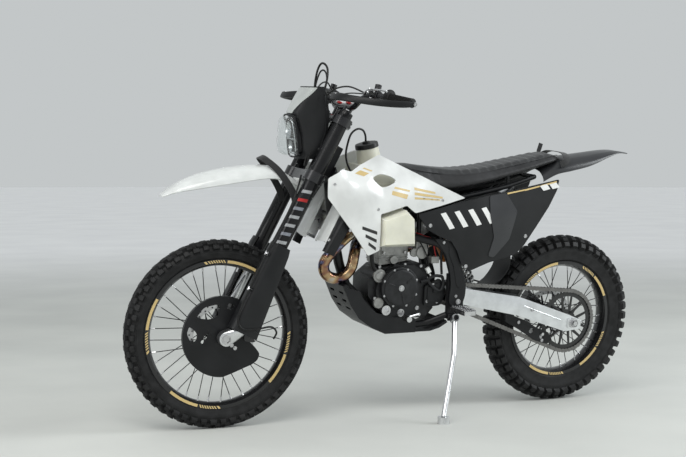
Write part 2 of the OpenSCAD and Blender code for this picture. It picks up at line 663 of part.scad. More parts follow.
module triple_clamps() color([0.07, 0.07, 0.07]) turned() {
    difference() {
        union() {
            for (z = [clamp_low_s, clamp_top_s]) {
                translate([0, 0, z[0]]) linear_extrude(z[1] - z[0]) union() {
                    for (s = [-1, 1]) translate([leg_f, s * leg_y]) circle(fork_outer_d / 2 + 9);
                    polygon([[-24, -34], [-24, 34], [leg_f - 24, leg_y], [leg_f + 24, leg_y],
                        [leg_f + 18, 0], [leg_f + 24, -leg_y], [leg_f - 24, -leg_y]]);
                }
            }
            translate([0, 0, clamp_low_s[0]])
                cylinder(d = stem_d, h = clamp_top_s[1] + 10 - clamp_low_s[0]);
            // Risers of the handlebar
            for (s = [-1, 1]) translate([6, s * 46, clamp_top_s[1] - 1]) cylinder(d = 34, h = 55);
        }
        for (s = [-1, 1]) translate([leg_f, s * leg_y, clamp_low_s[0] - 1])
            cylinder(d = fork_outer_d, h = fork_top_s);
        translate([6, 0, bar_s]) rotate([90, 0, 0])
            cylinder(d = bar_d + 2 * seat_gap, h = 200, center = true);
    }
}
module fork_tubes() color([0.06, 0.06, 0.06]) turned() for (s = [-1, 1])
    translate([leg_f, s * leg_y, 0]) {
        translate([0, 0, fork_split_s]) cylinder(d = fork_outer_d, h = fork_top_s - fork_split_s);
        translate([0, 0, fork_top_s]) cylinder(d = 40, h = 8);
    }

lug_w = 18;
module lug(s) {
    translate([leg_f, s * leg_y, axle_drop + 40]) cylinder(d = fork_inner_d + 8, h = 46);
    hull() {
        translate([leg_f, s * leg_y, axle_drop + 40]) cylinder(d = fork_inner_d + 8, h = 4, $fn = 32);
        translate([axle_offset, s * (leg_y - 4), axle_drop]) rotate([90, 0, 0])
            cylinder(d = 52, h = 2 * lug_w, center = true, $fn = 32);
    }
}
module fork_lowers() color([0.72, 0.73, 0.74]) turned() difference() {
    for (s = [-1, 1]) {
        lug(s);
        translate([leg_f, s * leg_y, axle_drop + 80])
            cylinder(d = fork_inner_d, h = fork_split_s - axle_drop - 80);
    }
    translate([axle_offset, 0, axle_drop]) {
        across(front_axle_d / 2, -200, 200);
        across(20, lug_w + 4 - leg_y, leg_y - 4 - lug_w);
    }
}
guard_gap = 1;
module fork_guards() color([0.07, 0.07, 0.07]) turned() for (s = [-1, 1])
    translate([leg_f, s * leg_y, 0]) difference() {
        translate([0, 0, lug_top_s]) linear_extrude(300) offset(6)
            square([fork_outer_d + 14, fork_outer_d - 2], center = true);
        translate([0, 0, lug_top_s - 1]) cylinder(d = fork_outer_d + 2 * guard_gap, h = 310);
        // Open towards the wheel
        translate([-60, s > 0 ? -60 : 14, lug_top_s - 1]) cube([120, 46, 310]);
    }
module front_axle() color([0.7, 0.7, 0.72]) turned() translate([axle_offset, 0, axle_drop]) {
    across(front_axle_d / 2, -leg_y - 18, leg_y + 18);
    for (s = [-1, 1]) {
        a = front_hub_half + end_gap;
        b = leg_y - 4 - lug_w;
        translate([0, s * (a + b) / 2, 0]) across(18, -(b - a) / 2, (b - a) / 2);
    }
}
module disc_guard() color([0.06, 0.06, 0.06]) turned() translate([axle_offset, 0, axle_drop])
    difference() {
        union() {
            across(148, 66, 70);
            difference() {
                across(148, 46, 70);
                across(143, 45, 67);
            }
        }
        across(19, 40, 80);
        // Opening behind for the caliper
        rotate([0, -20, 0]) translate([-160, 40, -20]) cube([104, 40, 120]);
        for (a = [150, 195, 230]) rotate([0, a, 0]) translate([86, 60, -7]) cube([44, 20, 12]);
    }
module front_caliper() color([0.09, 0.09, 0.1]) turned() translate([axle_offset, 0, axle_drop])
    union() {
        rotate([0, -18, 0]) difference() {
            slab(-128, -78, 38, 84, -6, 88);
            across(front_disc_r + 4, front_disc_y - 7, front_disc_y + 7);
        }
        // Bracket up to the left fork lug
        slab(-100, -49.2, 78, 88, 44, 74);
    }

// Rows: x, centre height, half width, drop of the edge
front_fender_rows = [
    [1142, 860, 46, 12], [1200, 914, 58, 22], [1262, 950, 66, 34], [1326, 968, 72, 46],
    [1447, 960, 76, 54], [1558, 936, 72, 48], [1632, 907, 60, 32], [1680, 876, 42, 14],
    [1702, 856, 26, 4]
];
module front_fender() color([0.9, 0.9, 0.88]) {
    turned_bike() arch_sheet(front_fender_rows, 9, fender_t);
    // Pad under the lower clamp
    turned() slab(4, 54, -30, 30, 978, clamp_low_s[0] - seat_gap);
}

strap_w = 26;
strap_t = 3;
// Arch of the strap from leg to leg: x forward, height along the fork
module lift_strap() color([0.05, 0.05, 0.05]) turned() {
    side = leg_y - fork_outer_d / 2 - strap_t / 2 - seat_gap;
    path = spline([[34, side, 905], [66, side, 942], [142, 66, 986], [198, 34, 1004], [213, 0, 1008],
        [198, -34, 1004], [142, -66, 986], [66, -side, 942], [34, -side, 905]], 3);
    loft([for (i = [0 : len(path) - 1]) let (t = heading(path, i), w = unit([0.62, 0, -0.78]),
        n = unit(cross(t, w)))
        [path[i] + w * strap_w / 2 + n * strap_t / 2, path[i] - w * strap_w / 2 + n * strap_t / 2,
            path[i] - w * strap_w / 2 - n * strap_t / 2, path[i] + w * strap_w / 2 - n * strap_t / 2]]);
}

// Rows of the mask: z, front x, rear x, half width in front, half width behind
mask_rows = [
    [1257, 1170, 1118, 66, 74], [1208, 1200, 1104, 62, 76], [1160, 1226, 1096, 58, 76],
    [1132, 1214, 1096, 60, 76], [1080, 1200, 1104, 60, 75], [1030, 1196, 1124, 58, 72],
    [992, 1190, 1150, 50, 60]
];
function mask_ring(r, o) = [
    [r[2], r[4] - o, r[0]], [(r[1] + r[2]) / 2, (r[3] + r[4]) / 2 + 4 - o, r[0]],
    [r[1] - 14 - o, r[3] - o, r[0]], [r[1] - o, r[3] * 0.6, r[0]], [r[1] + 3 - o, 0, r[0]],
    [r[1] - o, -r[3] * 0.6, r[0]], [r[1] - 14 - o, -r[3] + o, r[0]],
    [(r[1] + r[2]) / 2, -(r[3] + r[4]) / 2 - 4 + o, r[0]], [r[2], -r[4] + o, r[0]]
];
module headlight_mask() color([0.08, 0.08, 0.08]) {
    turned_bike() sheet(flat([for (r = mask_rows) mask_ring(r, 4)]),
        flat([for (r = mask_rows) mask_ring(r, 0)]), grid_faces(len(mask_rows), 9));
    // Pads against the fork tubes
    turned() both_sides() slab(34, 50, 66, leg_y - fork_outer_d / 2 - seat_gap, 1112, 1142);
}
lamp_rows = [
    [1004, 1196.5, 1238, 34, 44], [1020, 1198.6, 1256, 42, 52], [1080, 1204, 1258, 44, 54],
    [1130, 1218, 1254, 40, 50], [1146, 1225, 1242, 36, 44]
];
module headlight() color([0.5, 0.52, 0.52]) turned_bike()
    loft([for (r = lamp_rows) [[r[1], -r[4], r[0]], [r[2] - 12, -r[4], r[0]], [r[2], -r[3] * 0.7, r[0]],
        [r[2] + 3, 0, r[0]], [r[2], r[3] * 0.7, r[0]], [r[2] - 12, r[4], r[0]], [r[1], r[4], r[0]]]]);

// ---------------------------------------------------------------- handlebar

bar_d = 28;
grip_bar_d = 22;
bar_s = clamp_top_s[1] + 55;
bend_route = [[6, 68, bar_s], [8, 100, bar_s + 4], [12, 150, bar_s + 34], [4, 200, bar_s + 52],
    [-14, 260, bar_s + 58], [-72, 405, bar_s + 64]];
module handlebar() color([0.06, 0.06, 0.06]) turned() {
    hose([[6, -72, bar_s], [6, -30, bar_s], [6, 30, bar_s], [6, 72, bar_s]], bar_d, 20, 1);
    both_sides() hose(bend_route, grip_bar_d, 14, 4);
}
grip_a = [-26, 290, bar_s + 59.5];
grip_b = [-72, 405, bar_s + 64];
module grips() color([0.05, 0.05, 0.05]) turned() both_sides() {
    v = grip_b - grip_a;
    difference() {
        union() {
            bar(grip_a, grip_a + v * 0.96, 33);
            bar(grip_a - v * 0.03, grip_a + v * 0.03, 60);
        }
        bar(grip_a - v * 0.2, grip_b + v * 0.2, grip_bar_d + 1.5);
    }
}
guard_route = [[-78, 412, bar_s + 64], [-40, 420, bar_s + 50], [10, 408, bar_s + 30],
    [62, 370, bar_s + 8], [98, 310, bar_s - 4], [104, 240, bar_s - 4], [84, 180, bar_s + 6],
    [50, 140, bar_s + 16]];
module handguards() color([0.05, 0.05, 0.05]) turned() both_sides() {
    path = spline(guard_route, 3);
    loft([for (i = [0 : len(path) - 1]) let (t = heading(path, i), up = [0, 0, 1],
        n = unit(cross(t, up)), w = cross(n, t), h = 16, d = 7)
        [for (k = [0 : 7]) path[i] + h * cos(45 * k) * w + d * sin(45 * k) * n]]);
}
// Clamp round the bar, with its pump body, and the lever in front of the grip
perch = [-4, 226, bar_s + 55.5];
module hand_levers() color([0.4, 0.4, 0.42]) turned() both_sides() difference() {
    union() {
        bar(perch - [-4, 13, 1.5], perch + [-4, 13, 1.5], 34);
        bar(perch + [4, 0, 14], perch + [10, -4, 38], 26);
        bar(perch + [8, 0, 2], perch + [36, 2, 2], 18);
        bar(perch + [36, -4, 2], [24, 380, bar_s + 58], 10);
    }
    hose(bend_route, grip_bar_d + 2 * seat_gap, 14, 4);
}
hose_route = [[120, 118, 1290], [132, 116, 1356], [140, 100, 1400], [148, 60, 1418], [152, 0, 1418],
    [148, -40, 1400], [140, -60, 1360], [128, -66, 1300]];
module brake_hose() color([0.05, 0.05, 0.05]) turned() hose(hose_route, 8, 8, 4);

// ---------------------------------------------------------------- side stand

// Middle of the stand's boss, and where its leg bends, on the upright bike
stand_pivot = [566 + sprung_x, 142, 390];
stand_knee = [596 + sprung_x, 200, 258];
// Middle of the foot on the ground
stand_foot = [692 + sprung_x - middle_x, 315 - middle_y, 0];
// Way the leg points when it is folded back
stand_folded = [-0.99, 0.12, 0.04];
foot_h = 26;
pin_d = 12;
boss_half = 14;
stand_top = leaned_point(stand_pivot);
stand_down = unit(stand_foot + [0, 0, foot_h] - stand_top);
stand_axis = unit(cross(stand_down, unit(stand_folded)));
module along_stand(a, b, d) bar(stand_top + a * stand_axis, stand_top + b * stand_axis, d);
module side_stand() color([0.75, 0.76, 0.77]) difference() {
    knee = leaned_point(stand_knee);
    ankle = stand_foot + [0, 0, foot_h - 2];
    union() {
        along_stand(-boss_half, boss_half, 30);
        bar(stand_top, knee, 20);
        translate(knee) sphere(d = 22);
        bar(knee, ankle, 21);
        translate(stand_foot) cylinder(d = 46, h = foot_h);
    }
    along_stand(-30, 30, pin_d + 2 * run_gap);
}
module stand_bracket() color([0.08, 0.08, 0.08]) {
    along_stand(-boss_half - 7, -boss_half - end_gap, 26);
    along_stand(-boss_half - 2, boss_half + 4, pin_d);
    along_stand(boss_half + end_gap, boss_half + 4, 20);
    sprung() slab(548, 584, plate_outer + seat_gap, plate_outer + 7, 378, 404);
}

head_tube();
main_frame();
subframe();
engine_case();
engine_cylinder();
engine_covers();
skid_plate();
exhaust_pipe();
silencer();
radiators();
radiator_guards();
fuel_tank();
fuel_cap();
vent_hose();
tank_shrouds();
seat();
side_panels();
airbox();
rear_fender();
footpegs();
foot_levers();
rear_shock();
swingarm();
rear_axle();
drive_chain();
chain_guide();
rear_caliper();
stand_bracket();
triple_clamps();
fork_tubes();
fork_lowers();
fork_guards();
front_axle();
disc_guard();
front_caliper();
front_fender();
lift_strap();
headlight_mask();
headlight();
handlebar();
grips();
handguards();
hand_levers();
brake_hose();
front_tyre();
front_rim();
front_hub();
front_spokes();
front_disc();
rear_tyre();
rear_rim();
rear_hub();
rear_spokes();
rear_sprocket();
rear_disc();
side_stand();
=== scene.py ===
import bpy, json, math
import numpy as np
from mathutils import Matrix, Vector, geometry


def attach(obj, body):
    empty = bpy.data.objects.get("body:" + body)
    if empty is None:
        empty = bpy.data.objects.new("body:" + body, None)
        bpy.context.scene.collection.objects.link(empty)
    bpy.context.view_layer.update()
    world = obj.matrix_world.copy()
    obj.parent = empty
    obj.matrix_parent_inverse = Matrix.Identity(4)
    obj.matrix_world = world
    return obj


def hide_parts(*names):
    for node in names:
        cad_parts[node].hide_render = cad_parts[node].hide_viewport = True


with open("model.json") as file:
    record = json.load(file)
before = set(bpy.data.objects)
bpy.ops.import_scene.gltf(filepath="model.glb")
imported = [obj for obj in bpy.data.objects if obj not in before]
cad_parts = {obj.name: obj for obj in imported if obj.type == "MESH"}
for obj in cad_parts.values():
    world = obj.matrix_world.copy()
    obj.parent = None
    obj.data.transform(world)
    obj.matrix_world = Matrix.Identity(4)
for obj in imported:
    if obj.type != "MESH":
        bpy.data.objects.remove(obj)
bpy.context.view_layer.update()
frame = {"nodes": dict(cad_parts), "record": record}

# ------------------------------------------------------------------ frames
# The same stance as the CAD. Lengths in the drawing frames are millimetres.
LEAN, RAKE, STEER = 5.9, 26.5, -5.4
STEER_X, AXLE_F, AXLE_S, LIFT = 1592.087, 57.0, 361.048, 0.302
MIDDLE = (744.0, 128.0)
FRONT_R, REAR_R = 348.0, 341.0
LEG_Y, LEG_F = 107.0, 29.0
BAR_S = 1321.0


def rot(degrees, axis):
    return Matrix.Rotation(math.radians(degrees), 4, axis)


MM = Matrix.Scale(0.001, 4)
BIKE = MM @ Matrix.Translation((-MIDDLE[0], -MIDDLE[1], LIFT)) @ rot(-LEAN, "X")
FORK = BIKE @ Matrix.Translation((STEER_X, 0, 0)) @ rot(-RAKE, "Y") @ rot(STEER, "Z")
FORK_BIKE = FORK @ rot(RAKE, "Y") @ Matrix.Translation((-STEER_X, 0, 0))
FRONT_WHEEL = FORK @ Matrix.Translation((AXLE_F, 0, AXLE_S))
REAR_WHEEL = BIKE @ Matrix.Translation((0, 0, REAR_R))

# ------------------------------------------------------------------ materials


class Mat:
    """A Principled material with node detail in object coordinates."""

    def __init__(self, name, color, rough=0.5, metal=0.0, **more):
        self.m = bpy.data.materials.new(name)
        self.m.use_nodes = True
        self.t = self.m.node_tree
        self.t.nodes.clear()
        self.out = self.n("ShaderNodeOutputMaterial")
        self.b = self.n("ShaderNodeBsdfPrincipled")
        self.t.links.new(self.b.outputs[0], self.out.inputs[0])
        self.b.inputs["Base Color"].default_value = (*color, 1)
        self.b.inputs["Roughness"].default_value = rough
        self.b.inputs["Metallic"].default_value = metal
        for key, value in more.items():
            self.b.inputs[key].default_value = value
        self.pos = self.n("ShaderNodeTexCoord").outputs["Object"]
        self.height = None
        self.color = color
        self.rough = rough

    def n(self, kind, **props):
        node = self.t.nodes.new(kind)
        for key, value in props.items():
            setattr(node, key, value)
        return node

    def noise(self, scale, detail=3.0, vector=None, stretch=None):
        node = self.n("ShaderNodeTexNoise")
        node.inputs["Scale"].default_value = scale
        node.inputs["Detail"].default_value = detail
        vector = vector or self.pos
        if stretch:
            mapping = self.n("ShaderNodeMapping")
            mapping.inputs["Scale"].default_value = stretch
            self.t.links.new(vector, mapping.inputs["Vector"])
            vector = mapping.outputs[0]
        self.t.links.new(vector, node.inputs["Vector"])
        return node.outputs["Fac"]

    def ramp(self, fac, stops):
        node = self.n("ShaderNodeValToRGB")
        while len(node.color_ramp.elements) < len(stops):
            node.color_ramp.elements.new(0.5)
        for e, (at, c) in zip(node.color_ramp.elements, stops):
            e.position = at
            e.color = (*c, 1) if len(c) == 3 else c
        self.t.links.new(fac, node.inputs[0])
        return node.outputs[0]

    def tint(self, fac, low, high, at=(0.35, 0.65)):
        self.t.links.new(self.ramp(fac, [(at[0], low), (at[1], high)]), self.b.inputs["Base Color"])
        return self

    def mottle(self, scale=40, amount=0.15):
        c = self.color
        low = tuple(max(0, x * (1 - amount)) for x in c)
        high = tuple(min(1, x * (1 + amount) + 0.004) for x in c)
        return self.tint(self.noise(scale, 4), low, high)

    def roughen(self, scale=60, amount=0.08, stretch=None):
        node = self.n("ShaderNodeMapRange")
        node.inputs["To Min"].default_value = max(0.02, self.rough - amount)
        node.inputs["To Max"].default_value = min(1, self.rough + amount)
        self.t.links.new(self.noise(scale, 4, stretch=stretch), node.inputs["Value"])
        self.t.links.new(node.outputs[0], self.b.inputs["Roughness"])
        return self

    def bump(self, fac, strength, distance):
        node = self.n("ShaderNodeBump")
        node.inputs["Strength"].default_value = strength
        node.inputs["Distance"].default_value = distance
        self.t.links.new(fac, node.inputs["Height"])
        if self.height:
            self.t.links.new(self.height, node.inputs["Normal"])
        self.height = node.outputs[0]
        self.t.links.new(self.height, self.b.inputs["Normal"])
        return self

    def grain(self, scale=900, strength=0.25, distance=0.0004, stretch=None):
        return self.bump(self.noise(scale, 2, stretch=stretch), strength, distance)

    def cells(self, scale, strength, distance):
        node = self.n("ShaderNodeTexVoronoi")
        node.inputs["Scale"].default_value = scale
        self.t.links.new(self.pos, node.inputs["Vector"])
        return self.bump(node.outputs["Distance"], strength, distance)


def plastic(name, color, rough, grain_scale=1400, grain=0.2, **more):
    return Mat(name, color, rough, **more).mottle(9, 0.1).roughen(30, 0.06).grain(grain_scale, grain).m


def metal(name, color, rough, stretch=None, **more):
    made = Mat(name, color, rough, 1.0, **more).mottle(25, 0.08)
    return made.roughen(60, 0.1, stretch).grain(500, 0.12, 0.0002, stretch).m


M = {}
DULL = {"Specular IOR Level": 0.3}
M["frame_paint"] = plastic("frame_paint", (0.006, 0.006, 0.007), 0.36, 2500, 0.15, **DULL)
M["black_plastic"] = plastic("black_plastic", (0.007, 0.0075, 0.0085), 0.42, 1100, 0.4, **DULL)
M["black_gloss"] = plastic("black_gloss", (0.006, 0.006, 0.007), 0.22, 2200, 0.06, **DULL)
M["dark_grey"] = plastic("dark_grey", (0.024, 0.025, 0.028), 0.3, 2000, 0.08)
M["white_plastic"] = plastic("white_plastic", (0.7, 0.71, 0.7), 0.22, 500, 0.03,
                             **{"Coat Weight": 0.25, "Coat Roughness": 0.1})
M["clear_white"] = plastic("clear_white", (0.78, 0.8, 0.79), 0.2, 300, 0.04,
                           **{"Transmission Weight": 0.18, "Coat Weight": 0.3})
M["tank"] = plastic("tank", (0.74, 0.73, 0.62), 0.36, 700, 0.08,
                    **{"Subsurface Weight": 0.15, "Subsurface Radius": (0.02, 0.02, 0.012)})
M["engine_dark"] = Mat("engine_dark", (0.012, 0.0125, 0.014), 0.45, 0.3).mottle(40, 0.25)\
    .roughen(80, 0.12).grain(1500, 0.5, 0.0004).m
M["engine_grey"] = Mat("engine_grey", (0.33, 0.33, 0.32), 0.55, 0.85).mottle(60, 0.15)\
    .roughen(90, 0.1).grain(1300, 0.6, 0.0005).m
M["silver"] = metal("silver", (0.72, 0.73, 0.74), 0.3)
M["arm_alu"] = metal("arm_alu", (0.74, 0.755, 0.77), 0.33, (1, 18, 18))
M["steel"] = metal("steel", (0.6, 0.6, 0.61), 0.28)
M["disc_steel"] = metal("disc_steel", (0.5, 0.5, 0.51), 0.3)
M["chain_steel"] = metal("chain_steel", (0.2, 0.195, 0.19), 0.4)
M["spoke"] = Mat("spoke", (0.02, 0.02, 0.022), 0.35, 0.8).roughen(200, 0.08).grain(2500, 0.1).m
M["anodised"] = Mat("anodised", (0.013, 0.013, 0.015), 0.24, 0.35,
                    **{"Coat Weight": 0.5, "Coat Roughness": 0.12})\
    .roughen(40, 0.07).grain(2500, 0.05).m
M["rim"] = Mat("rim", (0.014, 0.014, 0.015), 0.22, 0.3,
               **{"Coat Weight": 0.4}).roughen(50, 0.07).grain(2000, 0.05).m
M["gold"] = Mat("gold", (0.62, 0.46, 0.2), 0.38).mottle(300, 0.06).roughen(90, 0.06).grain(3000, 0.05).m
M["white_decal"] = Mat("white_decal", (0.8, 0.8, 0.79),
                       0.3).mottle(60, 0.03).roughen(60, 0.05).grain(2500, 0.04).m
M["black_decal"] = Mat("black_decal", (0.016, 0.016, 0.016),
                       0.3).mottle(60, 0.1).roughen(60, 0.05).grain(2500, 0.04).m
M["grey_decal"] = Mat("grey_decal", (0.32, 0.33, 0.34),
                      0.35).mottle(60, 0.1).roughen(60, 0.05).grain(2500, 0.04).m
M["red"] = Mat("red", (0.42, 0.02, 0.02), 0.35, 0.4).mottle(60, 0.1).roughen(60, 0.06).grain(2500, 0.06).m
M["hose"] = Mat("hose", (0.006, 0.006, 0.006), 0.42,
                **DULL).mottle(90, 0.2).roughen(90, 0.08).grain(1800, 0.25).m
M["grip"] = Mat("grip", (0.006, 0.006, 0.006), 0.6,
                **DULL).mottle(90, 0.2).roughen(90, 0.08).cells(420, 0.5, 0.0006).m
M["strap"] = Mat("strap", (0.006, 0.006, 0.007), 0.8, **{"Sheen Weight": 0.3}).mottle(200, 0.3)\
    .roughen(90, 0.06).cells(900, 0.6, 0.0005).m
M["tyre"] = Mat("tyre", (0.009, 0.009, 0.0095), 0.58, **DULL).mottle(30, 0.35).roughen(40, 0.1)\
    .grain(260, 0.35, 0.0009).grain(1600, 0.4, 0.0004).m
M["seat"] = Mat("seat", (0.012, 0.0125, 0.014), 0.5, **{"Sheen Weight": 0.12}).mottle(14, 0.25)\
    .roughen(30, 0.08).cells(700, 0.45, 0.0004).m
M["seat_side"] = Mat("seat_side", (0.009, 0.009, 0.0105), 0.55).mottle(14, 0.25).roughen(30, 0.08)\
    .cells(500, 0.5, 0.0004).m
M["orange"] = Mat("orange", (0.5, 0.16, 0.03), 0.4, 0.3).mottle(80, 0.15).roughen(60, 0.06).grain(1500, 0.1).m
M["blue_tag"] = Mat("blue_tag", (0.42, 0.6, 0.66), 0.5).mottle(80, 0.1).roughen(60, 0.06).grain(1500, 0.1).m
M["reflector"] = metal("reflector", (0.55, 0.57, 0.58), 0.14)

def lens_material():
    made = Mat("lens", (0.93, 0.95, 0.95), 0.05, **{"Transmission Weight": 0.95, "IOR": 1.25})
    return made.roughen(20, 0.03).grain(60, 0.04, 0.0006).m


M["lens"] = lens_material()


def header_material():
    made = Mat("header", (0.32, 0.22, 0.15), 0.24, 1.0)
    mapping = made.n("ShaderNodeMapping")
    made.t.links.new(made.pos, mapping.inputs["Vector"])
    mapping.inputs["Scale"].default_value = (9, 9, 13)
    fac = made.noise(1.6, 2, mapping.outputs[0])
    stops = [(0.3, (0.5, 0.47, 0.43)), (0.42, (0.5, 0.36, 0.2)), (0.52, (0.26, 0.13, 0.08)),
             (0.6, (0.1, 0.11, 0.2)), (0.72, (0.4, 0.42, 0.46))]
    made.t.links.new(made.ramp(fac, stops), made.b.inputs["Base Color"])
    return made.roughen(50, 0.08).grain(900, 0.1, 0.0002).m


M["header"] = header_material()

SLOTS = {
    "frame_paint": "frame_paint", "black_plastic": "black_plastic", "engine_dark": "engine_dark",
    "engine_grey": "engine_grey", "header_steel": "header", "silencer_alu": "silver",
    "radiator_alu": "silver", "tank_plastic": "tank", "hose_rubber": "hose",
    "white_plastic": "white_plastic", "seat_vinyl": "seat", "black_gloss": "black_gloss",
    "dark_grey_plastic": "dark_grey", "raw_alu": "silver", "bright_steel": "steel",
    "chain_steel": "chain_steel", "anodised_black": "anodised", "clear_white_plastic": "clear_white",
    "strap_fabric": "strap", "lamp_glass": "reflector", "grip_rubber": "grip", "tyre_rubber": "tyre",
    "rim_black": "rim", "spoke_steel": "spoke", "disc_steel": "disc_steel",
}
NODE_SLOT = {s["node"]: s["material_slot"] for s in frame["record"]["subparts"]}
for node, obj in frame["nodes"].items():
    for s in obj.material_slots:
        s.material = M[SLOTS[NODE_SLOT[node]]]

# ------------------------------------------------------------------ mesh building


def unit(v):
    v = np.asarray(v, float)
    return v / np.linalg.norm(v)


def spline(points, steps):
    p = np.asarray(points, float)
    out = []
    for i in range(len(p) - 1):
        a, b, c, d = p[max(i - 1, 0)], p[i], p[i + 1], p[min(i + 2, len(p) - 1)]
        for j in range(steps):
            t = j / steps
            out.append(0.5 * (2 * b + (c - a) * t + (2 * a - 5 * b + 4 * c - d) * t * t
                              + (3 * b - a - 3 * c + d) * t * t * t))
    out.append(p[-1])
    return np.array(out)


class Shape:
    """Vertices and faces in one drawing frame, with a material index for each face."""

    def __init__(self):
        self.v, self.f, self.m = [], [], []
        self.mat = 0

    def add(self, verts, faces):
        base = len(self.v)
        self.v.extend(np.asarray(verts, float).tolist())
        self.f.extend([[base + i for i in f] for f in faces])
        self.m.extend([self.mat] * len(faces))
        return self

    def rings(self, rings, closed=False, caps=True):
        rings = [np.asarray(r, float) for r in rings]
        n, k = len(rings), len(rings[0])
        faces = []
        for i in range(n if closed else n - 1):
            for j in range(k):
                a, b = i * k, ((i + 1) % n) * k
                l = (j + 1) % k
                faces.append([a + j, a + l, b + l, b + j])
        if caps and not closed:
            faces.append(list(range(k))[::-1])
            faces.append([(n - 1) * k + j for j in range(k)])
        return self.add(np.concatenate(rings), faces)

    def tube(self, points, r, sides=12, closed=False, caps=True, flat=1.0, up=None):
        p = np.asarray(points, float)
        n = len(p)
        radii = np.full(n, r, float) if np.isscalar(r) else np.asarray(r, float)
        rings, side = [], None
        for i in range(n):
            if closed:
                t = unit(p[(i + 1) % n] - p[i - 1])
            else:
                t = unit(p[min(i + 1, n - 1)] - p[max(i - 1, 0)])
            if up is not None:
                side = unit(np.cross(t, up))
            elif side is None:
                side = unit(np.cross(t, (0, 0, 1) if abs(t[2]) < 0.9 else (1, 0, 0)))
            else:
                side = unit(side - t * (side @ t))
            other = np.cross(t, side)
            a = np.arange(sides) * 2 * math.pi / sides
            rings.append(p[i] + radii[i] * (np.outer(np.cos(a), side) + flat * np.outer(np.sin(a), other)))
        return self.rings(rings, closed, caps)

    def lathe(self, profile, origin=(0, 0, 0), axis=(0, 1, 0), sides=48, closed=False, start=0.0, arc=None):
        axis = unit(axis)
        side = unit(np.cross(axis, (0, 0, 1) if abs(axis[2]) < 0.9 else (1, 0, 0)))
        other = np.cross(axis, side)
        whole = arc is None
        count = sides if whole else sides + 1
        angles = math.radians(start) + np.arange(count) * (2 * math.pi if whole else math.radians(arc)) / sides
        rings = [[np.asarray(origin) + axis * y + r * (side * math.cos(a) + other * math.sin(a))
                  for y, r in profile] for a in angles]
        rings = [np.array(q) for q in rings]
        n, k = len(rings), len(profile)
        faces = []
        for i in range(n if whole else n - 1):
            for j in range(k if closed else k - 1):
                a, b = i * k, ((i + 1) % n) * k
                l = (j + 1) % k
                faces.append([a + j, b + j, b + l, a + l])
        if not whole and closed:
            faces.append(list(range(k)))
            faces.append([(n - 1) * k + j for j in range(k)][::-1])
        return self.add(np.concatenate(rings), faces)

    def prism(self, outline, y0, y1):
        a = [(x, y0, z) for x, z in outline]
        b = [(x, y1, z) for x, z in outline]
        return self.rings([a, b])

    def box(self, centre, size, turn=None):
        c, s = np.asarray(centre, float), np.asarray(size, float) / 2
        v = np.array([[x, y, z] for x in (-1, 1) for y in (-1, 1) for z in (-1, 1)]) * s
        if turn is not None:
            v = v @ np.array(turn.to_3x3()).T
        return self.add(v + c, [[0, 1, 3, 2], [4, 6, 7, 5], [0, 4, 5, 1], [2, 3, 7, 6], [0, 2, 6, 4],
                                [1, 5, 7, 3]])

    def bolt(self, at, axis, r=5, h=4, washer=True):
        at, axis = np.asarray(at, float), unit(axis)
        if washer:
            self.tube([at, at + axis * h * 0.35], r * 1.35, 18)
        self.tube([at, at + axis * h, at + axis * h], [r, r, r * 0.9], 6)
        return self

    def moved(self, matrix, other):
        v = np.array([matrix @ Vector(p) for p in other.v])
        base = len(self.v)
        self.v.extend(v.tolist())
        self.f.extend([[base + i for i in f] for f in other.f])
        self.m.extend(other.m)
        return self


def piece(name, shape, matrix, body, mats, bevel=0.0, smooth=35, subdiv=0, replaces=(), segments=2,
          weld=False, fix=True, ride=True):
    mesh = bpy.data.meshes.new(name)
    mesh.from_pydata([matrix @ Vector(v) for v in shape.v], [], shape.f)
    mesh.update()
    for m in mats if isinstance(mats, (list, tuple)) else [mats]:
        mesh.materials.append(M[m])
    mesh.polygons.foreach_set("material_index", shape.m)
    obj = bpy.data.objects.new(name, mesh)
    bpy.context.scene.collection.objects.link(obj)
    if fix:
        tidy(mesh, weld)
    finish_mesh(obj, bevel, smooth, subdiv, segments)
    if ride:
        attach(obj, body)
    if replaces:
        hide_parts(*replaces)
    return obj


def tidy(mesh, weld=True, distance=0.00002):
    import bmesh
    bm = bmesh.new()
    bm.from_mesh(mesh)
    if weld:
        bmesh.ops.remove_doubles(bm, verts=bm.verts, dist=distance)
    bmesh.ops.recalc_face_normals(bm, faces=bm.faces)
    bm.to_mesh(mesh)
    bm.free()


def finish_mesh(obj, bevel=0.0, smooth=35, subdiv=0, segments=2):
    obj.data.polygons.foreach_set("use_smooth", [True] * len(obj.data.polygons))
    obj.data.set_sharp_from_angle(angle=math.radians(smooth))
    if subdiv:
        s = obj.modifiers.new("subdiv", "SUBSURF")
        s.levels = s.render_levels = subdiv
    if bevel:
        b = obj.modifiers.new("bevel", "BEVEL")
        b.width = bevel * 0.001
        b.segments = segments
        b.limit_method = "ANGLE"
        b.angle_limit = math.radians(32)
        b.harden_normals = True
        b.use_clamp_overlap = True


